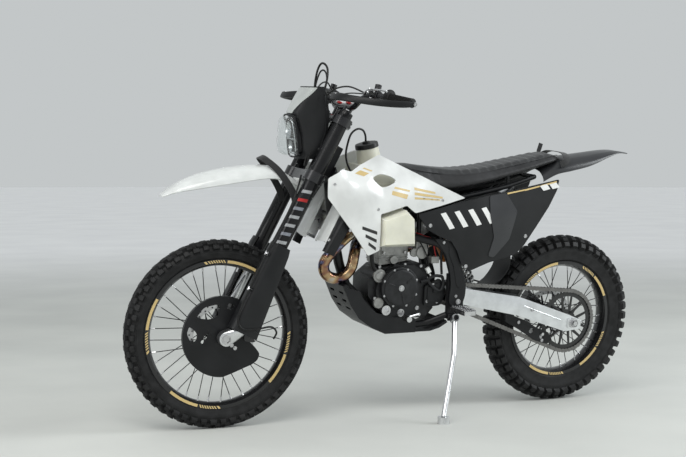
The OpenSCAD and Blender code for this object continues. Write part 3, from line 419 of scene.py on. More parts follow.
def refine(node, mats=None, bevel=1.0, smooth=35, name=None, merge=0.00005, dissolve=0.5):
    """A copy of a CAD node's mesh with rounded edges, in its place."""
    import bmesh
    src = frame["nodes"][node]
    mesh = src.data.copy()
    mesh.name = name or node + "_fine"
    bm = bmesh.new()
    bm.from_mesh(mesh)
    bmesh.ops.remove_doubles(bm, verts=bm.verts, dist=merge)
    if dissolve:
        bmesh.ops.dissolve_limit(bm, angle_limit=math.radians(dissolve), verts=bm.verts, edges=bm.edges)
    bmesh.ops.recalc_face_normals(bm, faces=bm.faces)
    bm.to_mesh(mesh)
    bm.free()
    if "custom_normal" in mesh.attributes:
        mesh.attributes.remove(mesh.attributes["custom_normal"])
    mesh.materials.clear()
    for m in ([mats] if isinstance(mats, str) else mats) or [SLOTS[NODE_SLOT[node]]]:
        mesh.materials.append(M[m])
    mesh.polygons.foreach_set("material_index", [0] * len(mesh.polygons))
    obj = bpy.data.objects.new(name or node + "_fine", mesh)
    bpy.context.scene.collection.objects.link(obj)
    obj.matrix_world = src.matrix_world.copy()
    finish_mesh(obj, bevel, smooth)
    body = next(b for b, ns in frame["record"]["behaviour"]["bodies"].items() if node in ns)
    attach(obj, body)
    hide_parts(node)
    return obj


# ------------------------------------------------------------------ camera, light, floor


def make_camera():
    data = bpy.data.cameras.new("camera")
    data.sensor_width, data.lens = 36, 73.7
    data.clip_start, data.clip_end = 0.1, 100
    cam = bpy.data.objects.new("camera", data)
    bpy.context.scene.collection.objects.link(cam)
    cam.location = (2.57004, 4.69235, 0.95891)
    cam.rotation_mode = "QUATERNION"
    cam.rotation_quaternion = Vector((-0.43908, -0.89735, -0.04438)).to_track_quat("-Z", "Y")
    bpy.context.scene.camera = cam


def light(name, at, to, size, power, color=(1, 1, 1)):
    data = bpy.data.lights.new(name, "AREA")
    data.shape, data.size, data.size_y = "RECTANGLE", size[0], size[1]
    data.energy, data.color = power, color
    obj = bpy.data.objects.new(name, data)
    bpy.context.scene.collection.objects.link(obj)
    obj.location = at
    obj.rotation_mode = "QUATERNION"
    obj.rotation_quaternion = (Vector(to) - Vector(at)).to_track_quat("-Z", "Y")


def make_stage():
    # A wide flat floor. Far out it glows until it is as bright as the sky, so no edge shows from any side
    turns = [2 * math.pi * i / 96 for i in range(96)]
    mesh = bpy.data.meshes.new("floor")
    mesh.from_pydata([(60 * math.cos(q), 60 * math.sin(q), 0) for q in turns], [], [list(range(96))])
    floor = bpy.data.objects.new("floor", mesh)
    bpy.context.scene.collection.objects.link(floor)
    made = Mat("floor", (0.6, 0.61, 0.58), 0.7)
    made.tint(made.noise(1.3, 6), (0.57, 0.58, 0.555), (0.63, 0.64, 0.61))
    made.roughen(3, 0.1).grain(30, 0.05, 0.001)
    nodes, links = made.m.node_tree.nodes, made.m.node_tree.links
    shader = next(n for n in nodes if n.type == "BSDF_PRINCIPLED")
    shader.inputs["Emission Color"].default_value = (0.9, 0.92, 1, 1)
    place, far, glow = (nodes.new("ShaderNode" + kind) for kind in ("TexCoord", "VectorMath", "MapRange"))
    far.operation = "LENGTH"
    glow.interpolation_type = "SMOOTHSTEP"
    for name, value in (("From Min", 3.5), ("From Max", 12), ("To Min", 0), ("To Max", 0.25)):
        glow.inputs[name].default_value = value
    links.new(place.outputs["Object"], far.inputs[0])
    links.new(far.outputs["Value"], glow.inputs["Value"])
    links.new(glow.outputs["Result"], shader.inputs["Emission Strength"])
    mesh.materials.append(made.m)
    world = bpy.data.worlds.new("world")
    bpy.context.scene.world = world
    world.use_nodes = True
    world.node_tree.nodes["Background"].inputs[0].default_value = (0.88, 0.92, 0.93, 1)
    world.node_tree.nodes["Background"].inputs[1].default_value = 0.62
    light("key", (2.6, 3.0, 4.6), (0, 0, 0.4), (3.5, 2.5), 130, (1, 0.99, 0.96))
    light("side", (-4.6, 2.2, 3.0), (0, 0, 0.5), (2.5, 2.5), 170, (0.94, 0.98, 1))
    light("front", (4.6, 1.0, 2.2), (0, 0, 0.6), (2, 2.5), 45)


make_camera()
make_stage()
bpy.context.scene.view_settings.view_transform = "Standard"

# ------------------------------------------------------------------ wheels


def knob(shape, centre_r, section, theta, phi, length, width, height, chamfer=1.2):
    """A tread block: its top lies on the section circle, and its base is height below it."""
    t = np.array([-math.sin(theta), 0, math.cos(theta)])
    radial = np.array([math.cos(theta), 0, math.sin(theta)])
    n = radial * math.cos(phi) + np.array([0, 1, 0]) * math.sin(phi)
    b = np.array([0, 1, 0]) * math.cos(phi) - radial * math.sin(phi)
    hub = radial * centre_r
    rings = []
    for depth, grow in ((section - height - 2, 1.26), (section - height + 2.5, 1.1),
                        (section - chamfer - 0.3, 1.0),
                        (section - 0.3, 1 - 2.2 * chamfer / min(length, width))):
        l, w = length / 2 * grow, width / 2 * grow
        rings.append([hub + n * depth + t * x + b * y for x, y in ((-l, -w), (l, -w), (l, w), (-l, w))])
    shape.rings(rings)


def make_tyre(name, node, matrix, body, r, section, rim_r, rim_w, pitches, height, rows):
    centre = r - section
    inner = section - height
    s = Shape()
    half = rim_w / 2 - 1.5
    profile = [(-half, rim_r + 1), (-half - 3, rim_r + 4), (-half - 6, rim_r + 6)]
    for a in np.radians(np.arange(-118, 119, 11)):
        y, q = inner * math.sin(a), centre + inner * math.cos(a)
        if q > rim_r + 7:
            profile.append((y * (1.02 if q < centre else 1), q))
    profile += [(half + 6, rim_r + 6), (half + 3, rim_r + 4), (half, rim_r + 1)]
    s.lathe(profile + [(half * 0.9, rim_r - 3), (-half * 0.9, rim_r - 3)], sides=160, closed=True)
    # Moulded rings on the side wall
    for y in (-1, 1):
        for a in (98, 84):
            q = math.radians(a)
            s.lathe([(y * (inner * math.sin(q) - 0.6), centre + inner * math.cos(q) - 1),
                     (y * (inner * math.sin(q) + 0.8), centre + inner * math.cos(q)),
                     (y * (inner * math.sin(q) - 0.6), centre + inner * math.cos(q) + 1)], sides=160,
                     closed=True)
    carcass = piece(name, s, matrix, body, "tyre", smooth=40, replaces=[node])
    k = Shape()
    for i in range(pitches):
        for offset, phi, length, width in rows:
            theta = (i + offset) * 2 * math.pi / pitches
            for side in ((-1, 1) if phi else (1,)):
                knob(k, centre, section, theta, math.radians(phi) * side, length, width, height)
    piece(name + "_knobs", k, matrix, body, "tyre", smooth=25)
    return carcass


make_tyre("front_tyre_rubber", "front_tyre", FRONT_WHEEL, "front_wheel", 348, 44, 277, 48, 27, 11.5,
          [(0.0, 11.5, 21, 14), (0.5, 0, 20, 20), (0.25, 33, 20, 14), (0.75, 33, 22, 13),
           (0.0, 60, 19, 15), (0.5, 60, 22, 15)])
make_tyre("rear_tyre_rubber", "rear_tyre", REAR_WHEEL, "rear_wheel", 341, 57, 239, 66, 24, 15.5,
          [(0.0, 12, 22, 21), (0.5, 0, 20, 26), (0.5, 29, 21, 19), (0.0, 37, 23, 17),
           (0.0, 61, 24, 20), (0.5, 61, 25, 20)])


def make_rim(name, node, matrix, body, rim_r, rim_w):
    half, floor = rim_w / 2, rim_r - 13.3
    s = Shape()
    profile = [(-half + 4, floor), (-half + 4, rim_r - 0.5), (-half + 2, rim_r), (-half + 0.5, rim_r - 0.8),
               (-half, rim_r - 3), (-half + 0.6, floor - 1), (-half * 0.62, floor - 8),
               (-half * 0.42, floor - 11),
               (0, floor - 12), (half * 0.42, floor - 11), (half * 0.62, floor - 8), (half - 0.6, floor - 1),
               (half, rim_r - 3), (half - 0.5, rim_r - 0.8), (half - 2, rim_r), (half - 4, rim_r - 0.5),
               (half - 4, floor)]
    s.lathe(profile, sides=180, closed=True)
    piece(name, s, matrix, body, "rim", smooth=30, replaces=[node])


def stripes(name, matrix, body, rim_r, rim_w, starts, way):
    """Gold bands on both side walls of a rim: a solid arc, hatching, and a last bar."""
    half, floor = rim_w / 2, rim_r - 13.3

    def band(s, side, a0, a1, lean=0.0):
        steps = max(1, int(abs(a1 - a0) / 2))
        inner_r, outer_r = floor - 0.2, rim_r - 3.2
        for k in range(steps):
            b0, b1 = a0 + (a1 - a0) * k / steps, a0 + (a1 - a0) * (k + 1) / steps
            quad = []
            for angle, r, y in ((b0, inner_r, half - 0.2), (b0 + lean, outer_r, half + 0.5),
                                (b1 + lean, outer_r, half + 0.5), (b1, inner_r, half - 0.2)):
                q = math.radians(angle)
                quad.append((r * math.cos(q), side * y, r * math.sin(q)))
            s.add(quad, [[0, 1, 2, 3] if side > 0 else [3, 2, 1, 0]])
    s = Shape()
    for side in (-1, 1):
        for a in starts:
            band(s, side, a, a + way * 25)
            for k in range(7):
                band(s, side, a + way * (26.2 + k * 2), a + way * (27.3 + k * 2), way * 1.5)
            band(s, side, a + way * 40.6, a + way * 42.4, way * 1.5)
    piece(name, s, matrix, body, "gold", fix=False)


make_rim("front_rim_ring", "front_rim", FRONT_WHEEL, "front_wheel", 277, 48)
make_rim("rear_rim_ring", "rear_rim", REAR_WHEEL, "rear_wheel", 239, 66)
stripes("front_rim_stripes", FRONT_WHEEL, "front_wheel", 277, 48, (94.2, 4.2, -75, -163.4), -1)
stripes("rear_rim_stripes", REAR_WHEEL, "rear_wheel", 239, 66, (83, 158, 240, -54.7), -1)


def spokes(name, node, matrix, body, flange_r, flange_y, rim_r):
    s, nipples = Shape(), Shape()
    end_r, step = rim_r - 13.3 - 12 - 0.5, 20
    for side in (-1, 1):
        for k in range(18):
            way = 1 if k % 2 == 0 else -1
            rim_a = math.radians(k * step + (0 if side > 0 else step / 2))
            hub_a = rim_a - math.radians(way * 60)
            start = np.array([(flange_r + 1.8) * math.cos(hub_a), side * (flange_y + way * 4.5),
                              (flange_r + 1.8) * math.sin(hub_a)])
            end = np.array([end_r * math.cos(rim_a), side * 7, end_r * math.sin(rim_a)])
            u = unit(end - start)
            s.tube([start - u * 3, start + u * 6, end], [2.1, 1.7, 1.6], 8)
            nipples.tube([end - u * 15, end - u * 14, end - u * 3, end + u * 2], [1.9, 3.0, 3.0, 3.6], 6)
    piece(name, s, matrix, body, "spoke", smooth=50, replaces=[node])
    piece(name + "_nipples", nipples, matrix, body, "steel", smooth=30)


spokes("front_spoke_set", "front_spokes", FRONT_WHEEL, "front_wheel", 30, 32, 277)
spokes("rear_spoke_set", "rear_spokes", REAR_WHEEL, "rear_wheel", 44, 34, 239)


def make_hub(name, node, matrix, body, flange_r, flange_y, barrel_r, half, bore_r):
    s = Shape()
    p = [(-half, bore_r), (-half, barrel_r - 2), (-half + 2, barrel_r)]
    for side in (-1, 1):
        edge = [(flange_y * side - 7, barrel_r), (flange_y * side - 5, flange_r - 3),
                (flange_y * side - 4, flange_r),
                (flange_y * side + 4, flange_r), (flange_y * side + 5, flange_r - 3),
                (flange_y * side + 7, barrel_r)]
        p += edge
        if side < 0:
            p += [(-8, barrel_r - 4), (8, barrel_r - 4)]
    p += [(half - 2, barrel_r), (half, barrel_r - 2), (half, bore_r)]
    s.lathe(p, sides=72, closed=True)
    piece(name, s, matrix, body, "anodised", smooth=30, replaces=[node])


make_hub("front_hub_shell", "front_hub", FRONT_WHEEL, "front_wheel", 30, 32, 22, 56, 13.1)
make_hub("rear_hub_shell", "rear_hub", REAR_WHEEL, "rear_wheel", 44, 34, 30, 78, 12.6)


def make_disc(name, node, matrix, body, y, r, hub_r):
    """Wavy drilled rotor with a black carrier."""
    outer = [(r - 2.2 + 2.0 * math.cos(a * 14)) for a in np.arange(168) * 2 * math.pi / 168]
    ring = Shape()
    top = [[(q * math.cos(a), y + h, q * math.sin(a)) for a, q in
            zip(np.arange(168) * 2 * math.pi / 168, outer)] for h in (-2, 2)]
    inn = [[((r - 26) * math.cos(a), y + h, (r - 26) * math.sin(a)) for a in
            np.arange(168) * 2 * math.pi / 168] for h in (-2, 2)]
    rings = [top[0], top[1], inn[1], inn[0]]
    v = np.array(rings).reshape(-1, 3)
    faces = []
    for i in range(4):
        for j in range(168):
            a, b = i * 168, ((i + 1) % 4) * 168
            l = (j + 1) % 168
            faces.append([a + j, b + j, b + l, a + l])
    ring.add(v, faces)
    for k in range(24):
        for row in (0, 1):
            a = (k + row * 0.5) * 2 * math.pi / 24
            q = r - 19 + row * 9
            c = np.array([q * math.cos(a), 0, q * math.sin(a)])
            for h in (-1, 1):
                ring.mat = 1
                ring.tube([c + (0, y + h * 1.5, 0), c + (0, y + h * 2.15, 0)], 3.1, 12)
    ring.mat = 0
    piece(name, ring, matrix, body, ["disc_steel", "black_decal"], smooth=30, replaces=[node])
    arms = Shape()
    arms.lathe([(y - 1.6, hub_r + 0.4), (y - 1.6, hub_r + 12), (y + 1.6, hub_r + 12), (y + 1.6, hub_r + 0.4)],
               sides=60, closed=True)
    for k in range(6):
        a = k * math.pi / 3
        for w in (-0.16, 0.16):
            p = [(hub_r + 8) * math.cos(a), y, (hub_r + 8) * math.sin(a)]
            q = [(r - 24) * math.cos(a + w), y, (r - 24) * math.sin(a + w)]
            arms.tube([p, q], [6, 4], 10, flat=0.4, up=(0, 1, 0))
        arms.tube([[(r - 25) * math.cos(a), y - 2.6, (r - 25) * math.sin(a)],
                   [(r - 25) * math.cos(a), y + 2.6, (r - 25) * math.sin(a)]], 5, 14)
        arms.bolt([(hub_r + 7) * math.cos(a), y + 1.6 * np.sign(y), (hub_r + 7) * math.sin(a)],
                  (0, np.sign(y), 0), 3.6, 3)
    piece(name + "_carrier", arms, matrix, body, "anodised", smooth=35)


make_disc("front_rotor", "front_disc", FRONT_WHEEL, "front_wheel", 50, 130, 22)
make_disc("rear_rotor", "rear_disc", REAR_WHEEL, "rear_wheel", -66, 110, 30)


def sprocket():
    teeth, pitch_r, y = 50, 124.0, 71
    s = Shape()
    count = teeth * 6
    prof = [0.0, 0.35, 0.9, 1.0, 0.9, 0.35]
    outer = [pitch_r - 9 + 9.5 * prof[i % 6] for i in range(count)]
    angles = np.arange(count) * 2 * math.pi / count
    rings = []
    for h, q in ((-2.5, 0), (-1.0, 1), (1.0, 1), (2.5, 0)):
        rings.append([((o - (0 if q else 1.5)) * math.cos(a), y + h, (o - (0 if q else 1.5)) * math.sin(a))
                      for a, o in zip(angles, outer)])
    inner = pitch_r - 24
    rings += [[(inner * math.cos(a), y + h, inner * math.sin(a)) for a in angles] for h in (2.5, -2.5)]
    faces = []
    for i in range(6):
        for j in range(count):
            a, b = i * count, ((i + 1) % 6) * count
            l = (j + 1) % count
            faces.append([a + j, b + j, b + l, a + l])
    s.add(np.array(rings).reshape(-1, 3), faces)
    s.lathe([(y - 2.5, 30.5), (y - 2.5, 46), (y + 2.5, 46), (y + 2.5, 30.5)], sides=72, closed=True)
    for k in range(6):
        a = k * math.pi / 3
        for w in (-0.3, 0.3):
            s.tube([[42 * math.cos(a + w * 0.5), y, 42 * math.sin(a + w * 0.5)],
                    [(inner + 4) * math.cos(a + w), y, (inner + 4) * math.sin(a + w)]], [7, 5], 10, flat=0.5,
                    up=(0, 1, 0))
        s.bolt([39 * math.cos(a), y + 2.5, 39 * math.sin(a)], (0, 1, 0), 5, 4)
    piece("sprocket", s, REAR_WHEEL, "rear_wheel", "black_decal", smooth=30,
          replaces=["rear_sprocket"])


sprocket()


def chain():
    """Roller chain along the belt line of the two sprockets."""
    y0, pitch = 71.0, 15.875
    rear, front = np.array([0, REAR_R]), np.array([602.0, 484.0])
    big, small = 124.0, 33.0
    d = front - rear
    dist, base = np.linalg.norm(d), math.atan2(d[1], d[0])
    lean = math.acos((big - small) / dist)
    path = []
    top, low = base + lean, base - lean
    for a in np.linspace(low, top, 30):
        path.append(front + small * np.array([math.cos(a), math.sin(a)]))
    for a in np.linspace(top, low + 2 * math.pi, 90):
        path.append(rear + big * np.array([math.cos(a), math.sin(a)]))
    path = np.array(path + [path[0]])
    seg = np.linalg.norm(np.diff(path, axis=0), axis=1)
    at = np.concatenate([[0], np.cumsum(seg)])
    links = int(round(at[-1] / pitch / 2)) * 2
    stations = np.linspace(0, at[-1], links, endpoint=False)
    pts = np.array([[np.interp(q, at, path[:, 0]), np.interp(q, at, path[:, 1])] for q in stations])
    s = Shape()
    for i in range(links):
        a, b = pts[i], pts[(i + 1) % links]
        u = (b - a) / np.linalg.norm(b - a)
        w = np.array([-u[1], u[0]])
        gap = 5.4 if i % 2 else 7.4
        outline = []
        for k in range(9):
            q = math.radians(90 + 180 * k / 8)
            outline.append(a + u * 8.2 * math.cos(q) + w * 8.2 * math.sin(q))
        outline.append((a + b) / 2 - w * 6.2)
        for k in range(9):
            q = math.radians(-90 + 180 * k / 8)
            outline.append(b + u * 8.2 * math.cos(q) + w * 8.2 * math.sin(q))
        outline.append((a + b) / 2 + w * 6.2)
        for side in (-1, 1):
            y = y0 + side * gap
            s.prism([tuple(o) for o in outline], y - 0.8, y + 0.8)
        s.tube([(a[0], y0 - 4, a[1]), (a[0], y0 + 4, a[1])], 4.9, 12)
        s.tube([(a[0], y0 - 9.2, a[1]), (a[0], y0 + 9.2, a[1])], 2.3, 10)
    s.lathe([(y0 - 3, 8), (y0 - 3, 29), (y0 + 3, 29), (y0 + 3, 8)], (602, 0, 484), sides=48, closed=True)
    for k in range(13):
        a = k * 2 * math.pi / 13
        p = np.array([602 + 28 * math.cos(a), y0, 484 + 28 * math.sin(a)])
        q = np.array([602 + 34 * math.cos(a), y0, 484 + 34 * math.sin(a)])
        s.tube([p, q], [4, 1.6], 8)
    piece("chain_links", s, BIKE, "chassis", "chain_steel", smooth=35,
          replaces=["drive_chain"])


chain()

# ------------------------------------------------------------------ bodywork sheets


def inside(p, ring):
    hit = False
    for i in range(len(ring)):
        (x0, z0), (x1, z1) = ring[i], ring[i - 1]
        if (z0 > p[1]) != (z1 > p[1]) and p[0] < (x1 - x0) * (p[1] - z0) / (z1 - z0) + x0:
            hit = not hit
    return hit


def rounded(ring, r, steps=4):
    """The outline with its corners rounded."""
    out = []
    for i in range(len(ring)):
        a, b, c = (np.array(ring[k % len(ring)], float) for k in (i - 1, i, i + 1))
        p = b + (a - b) * min(0.45, r / np.linalg.norm(a - b))
        q = b + (c - b) * min(0.45, r / np.linalg.norm(c - b))
        for k in range(steps + 1):
            t = k / steps
            out.append(tuple((1 - t) ** 2 * p + 2 * t * (1 - t) * b + t * t * q))
    return out


def resampled(ring, step):
    out = []
    for i in range(len(ring)):
        a, b = np.array(ring[i]), np.array(ring[(i + 1) % len(ring)])
        n = max(1, int(np.linalg.norm(b - a) / step))
        out += [tuple(a + (b - a) * k / n) for k in range(n)]
    return out


class Depth:
    """Smooth y(x, z) through control points (x, y, z): a thin-plate spline."""

    def __init__(self, points, soft=0.0):
        p = np.array(points, float)
        self.at = p[:, [0, 2]] / 100
        n = len(p)
        k = self.kernel(self.at, self.at) + np.eye(n) * soft
        side = np.column_stack([np.ones(n), self.at])
        full = np.block([[k, side], [side.T, np.zeros((3, 3))]])
        self.w = np.linalg.solve(full, np.concatenate([p[:, 1], np.zeros(3)]))

    def kernel(self, a, b):
        d = ((a[:, None] - b[None]) ** 2).sum(-1)
        return 0.5 * d * np.log(d + 1e-9)

    def __call__(self, q):
        q = np.atleast_2d(np.array(q, float)) / 100
        return self.kernel(q, self.at) @ self.w[:len(self.at)] + self.w[-3] + q @ self.w[-2:]


def mesh_plan(outline, holes=(), step=9.0, lines=()):
    """Triangles that fill an outline in (x, z), without the holes."""
    verts, edges = [], []
    for ring in (outline,) + tuple(holes):
        ring = resampled(ring, step)
        n = len(verts)
        verts += ring
        edges += [(n + i, n + (i + 1) % len(ring)) for i in range(len(ring))]
    for line in lines:
        pts = [np.array(line[0])]
        for a, b in zip(line, line[1:]):
            a, b = np.array(a, float), np.array(b, float)
            k = max(1, int(np.linalg.norm(b - a) / step))
            pts += [a + (b - a) * i / k for i in range(1, k + 1)]
        n = len(verts)
        verts += [tuple(p) for p in pts]
        edges += [(n + i, n + i + 1) for i in range(len(pts) - 1)]
    fixed = np.array(verts)
    xs, zs = fixed[:, 0], fixed[:, 1]
    for i, x in enumerate(np.arange(xs.min(), xs.max(), step)):
        for z in np.arange(zs.min() + (i % 2) * step / 2, zs.max(), step):
            p = (x, z)
            if inside(p, outline) and not any(inside(p, h) for h in holes):
                if ((fixed - p) ** 2).sum(1).min() > (step * 0.55) ** 2:
                    verts.append(p)
    v, _, f, *_ = geometry.delaunay_2d_cdt([Vector(p) for p in verts], edges, [], 0, 1e-4)
    faces = []
    for tri in f:
        c = sum((v[i] for i in tri), Vector((0, 0))) / len(tri)
        if inside(c, outline) and not any(inside(c, h) for h in holes):
            a, b, d = (v[i] for i in tri[:3])
            up = (b.x - a.x) * (d.y - a.y) - (b.y - a.y) * (d.x - a.x)
            faces.append(list(tri) if up < 0 else list(tri)[::-1])
    return np.array([(p.x, p.y) for p in v]), faces


def skin(shape, plan, depth, thick, mat=0):
    """A sheet of even thickness on the left side, drawn as front, back and edge."""
    pts, faces = plan
    y = depth(pts)
    n = len(pts)
    e = 0.6
    gx = (depth(pts + [e, 0]) - depth(pts - [e, 0])) / (2 * e)
    gz = (depth(pts + [0, e]) - depth(pts - [0, e])) / (2 * e)
    normal = np.column_stack([-gx, np.ones(n), -gz])
    normal /= np.linalg.norm(normal, axis=1)[:, None]
    outer = np.column_stack([pts[:, 0], y, pts[:, 1]])
    inner = outer - normal * thick
    count = {}
    for f in faces:
        for a, b in zip(f, f[1:] + f[:1]):
            count[(a, b)] = 1
    side = [[a, b, b + n, a + n][::-1] for (a, b) in count if (b, a) not in count]
    keep = shape.mat
    shape.mat = mat
    shape.add(np.concatenate([outer, inner]), [list(f) for f in faces] + [[i + n for i in f[::-1]]
                                                                          for f in faces] + side)
    shape.mat = keep


def decal(shape, ring, depth, mat, lift=0.5, holes=(), clip=None, step=7.0):
    """A thin graphic that lies on a sheet."""
    pts, faces = mesh_plan(ring, holes, step)
    if clip:
        faces = [f for f in faces if inside(pts[f].mean(axis=0), clip)]
    y = depth(pts) + lift
    shape.mat = mat
    shape.add(np.column_stack([pts[:, 0], y, pts[:, 1]]), [list(f) for f in faces])


def mirrored(shape, keep=True):
    out = Shape()
    n = len(shape.v)
    v = np.array(shape.v)
    out.v = [tuple(p) for p in v * (1, -1, 1)]
    out.f = [tuple(f)[::-1] for f in shape.f]
    out.m = list(shape.m)
    if keep:
        out.v = [tuple(p) for p in v] + out.v
        out.f = [tuple(f) for f in shape.f] + [tuple(i + n for i in f) for f in out.f]
        out.m = list(shape.m) + out.m
    return out


SHROUD_POINTS = [
    [1141, 165, 937], [1077, 150, 967], [1034, 132, 957], [992, 117, 980], [907, 98, 1017],
    [780, 106, 961], [660, 114, 908], [537, 122, 854],
    [1147, 179, 895], [1050, 168, 925], [978, 155, 925],
    [955, 142, 934], [916, 130, 949], [871, 126, 941], [842, 131, 923], [875, 143, 907],
    [914, 150, 898],
    [1147, 182, 867], [1035, 180, 860], [930, 170, 860], [850, 158, 868], [760, 138, 880],
    [650, 132, 826],
    [1087, 182, 795], [1000, 180, 790], [922, 168, 803], [806, 152, 832], [760, 140, 801],
    [1026, 180, 722], [921, 170, 730], [966, 166, 649], [920, 166, 668]
]
SHROUD_RING = [(1141, 937), (1077, 967), (1034, 957), (992, 980), (907, 1017), (780, 961), (660, 908),
               (537, 854),
               (650, 826), (760, 801), (806, 832), (922, 803), (921, 730), (920, 668), (966, 649),
               (1026, 722),
               (1087, 795), (1147, 867), (1147, 895)]
SHROUD_HOLE = [(955, 934), (916, 949), (871, 941), (842, 923), (875, 907), (914, 898)]
shroud_depth = Depth(SHROUD_POINTS, 0.02)
PANEL_POINTS = [
    [744, 130, 795], [592, 126, 831], [434, 120, 862], [287, 112, 887], [95, 100, 921],
    [103, 101, 879], [139, 105, 815], [192, 109, 742], [255, 115, 661], [292, 117, 629],
    [417, 123, 600], [507, 126, 569], [543, 130, 598], [568, 133, 653], [596, 134, 690],
    [649, 134, 709], [701, 132, 737],
    [600, 136, 770], [470, 134, 790], [330, 126, 800], [220, 114, 820],
    [480, 134, 700], [350, 126, 710], [255, 118, 740]
]
PANEL_RING = [tuple(p[::2]) for p in PANEL_POINTS[:17]]
panel_depth = Depth(PANEL_POINTS, 0.02)


def shrouds():
    outline, hole = rounded(SHROUD_RING, 7), rounded(SHROUD_HOLE, 16)
    s = Shape()
    skin(s, mesh_plan(outline, (hole,), 8), shroud_depth, 4)
    # Plain stripes: a pair ahead of the window, a pair behind it and three towards the tip
    gold = [[(1021, 951), (996, 962), (962, 951), (988, 941)],
            [(985, 968), (978, 971), (944, 960), (951, 957)],
            [(870, 888), (800, 872), (808, 856), (876, 874)],
            [(856, 902), (790, 888), (794, 882), (862, 896)],
            [(770, 898), (672, 878), (672, 871), (770, 888)],
            [(770, 880), (640, 860), (640, 853), (770, 870)],
            [(770, 862), (652, 850), (652, 846), (770, 854)]]
    for ring in gold:
        decal(s, ring, shroud_depth, 1, 0.45, step=9)
    # Plain leaning bars at the foot
    for k in range(3):
        x, z = 1002 - 16 * k, 752 - 30 * k
        decal(s, [(x, z + 10), (936, z - 12), (936, z - 24), (x, z - 2)], shroud_depth, 2, 0.5, clip=outline,
              step=6)
    piece("shroud_skins", mirrored(s), BIKE, "chassis",
          ["white_plastic", "gold", "black_decal"],
          smooth=32, replaces=["tank_shrouds"], fix=False)
    t = Shape()
    for x, z in ((1118, 915), (1052, 748), (936, 822), (640, 846)):
        y = float(shroud_depth([(x, z)])[0])
        t.bolt([x, y - 0.5, z], (0, 1, 0), 4.4, 3.2, 8)
    piece("shroud_bolts", mirrored(t), BIKE, "chassis", "steel", smooth=30)


shrouds()


def side_covers():
    s = Shape()
    outline = rounded(PANEL_RING, 8)
    skin(s, mesh_plan(outline, (), 9), panel_depth, 4)
    # Raised vent section in the middle, with its cut edge
    vent = rounded([(428, 861), (352, 872), (300, 800), (330, 690), (398, 620), (424, 628), (404, 700),
                    (428, 790)], 10)
    raised = lambda q: panel_depth(q) + 2.6
    skin(s, mesh_plan(vent, (), 9), raised, 3.4, mat=3)
    # Plain leaning bars, one behind another
    for k in range(4):
        x, z = 648 - 60 * k, 796 + 6 * k
        decal(s, [(x, z), (x - 22, z + 5), (x - 62, z - 55), (x - 40, z - 60)], panel_depth, 1, 0.5, step=9)
    gold = [(262, 884), (108, 915), (108, 909), (262, 878)]
    decal(s, [(348, 872), (262, 885), (262, 880), (348, 866)], panel_depth, 2, 3.2, step=9)
    decal(s, gold, panel_depth, 2, 0.5, step=9)
    for k in range(2):
        x = 190 - k * 46
        decal(s, [(x, 896 + k * 6), (x - 34, 903 + k * 6), (x - 52, 884 + k * 6), (x - 18, 877 + k * 6)],
              panel_depth, 1, 0.6, step=9)
    piece("side_cover_skins", mirrored(s), BIKE, "chassis",
          ["black_plastic", "white_decal", "gold", "dark_grey"], smooth=32, replaces=["side_panels"],
          fix=False)
    t = Shape()
    for x, z in ((522, 590), (690, 752), (250, 700)):
        y = float(panel_depth([(x, z)])[0])
        t.bolt([x, y - 0.5, z], (0, 1, 0), 5.5, 3.5, 9)
    piece("side_cover_bolts", mirrored(t), BIKE, "chassis", "steel", smooth=30)


side_covers()

# ------------------------------------------------------------------ seat

SEAT_ROWS = [
    [70, 1016, 1000, 40, 60], [110, 1017, 988, 54, 82], [198, 1001, 966, 64, 98],
    [314, 980, 936, 70, 104], [428, 961, 908, 72, 108], [541, 953, 886, 66, 106],
    [653, 961, 880, 56, 92], [763, 976, 916, 46, 78], [842, 996, 978, 30, 46]
]


def simulate(pad, cap):
    """Swells a closed pad with air, and limits how far each point moves."""
    start = np.array([v.co for v in pad.data.vertices])
    cloth = pad.modifiers.new("cloth", "CLOTH")
    cloth.settings.use_pressure = True
    cloth.settings.uniform_pressure_force = 4
    cloth.settings.effector_weights.gravity = 0
    cloth.settings.tension_stiffness = 15
    cloth.settings.bending_stiffness = 0.5
    cloth.point_cache.frame_start, cloth.point_cache.frame_end = 1, 20
    scene = bpy.context.scene
    for f in range(1, 21):
        scene.frame_set(f)
    deps = bpy.context.evaluated_depsgraph_get()
    done = np.array([v.co for v in pad.evaluated_get(deps).data.vertices])
    pad.modifiers.remove(cloth)
    scene.frame_set(1)
    move = done - start
    length = np.linalg.norm(move, axis=1)
    move *= np.minimum(1, cap / np.maximum(length, 1e-9))[:, None]
    pad.data.vertices.foreach_set("co", (start + move).ravel())
    pad.data.update()


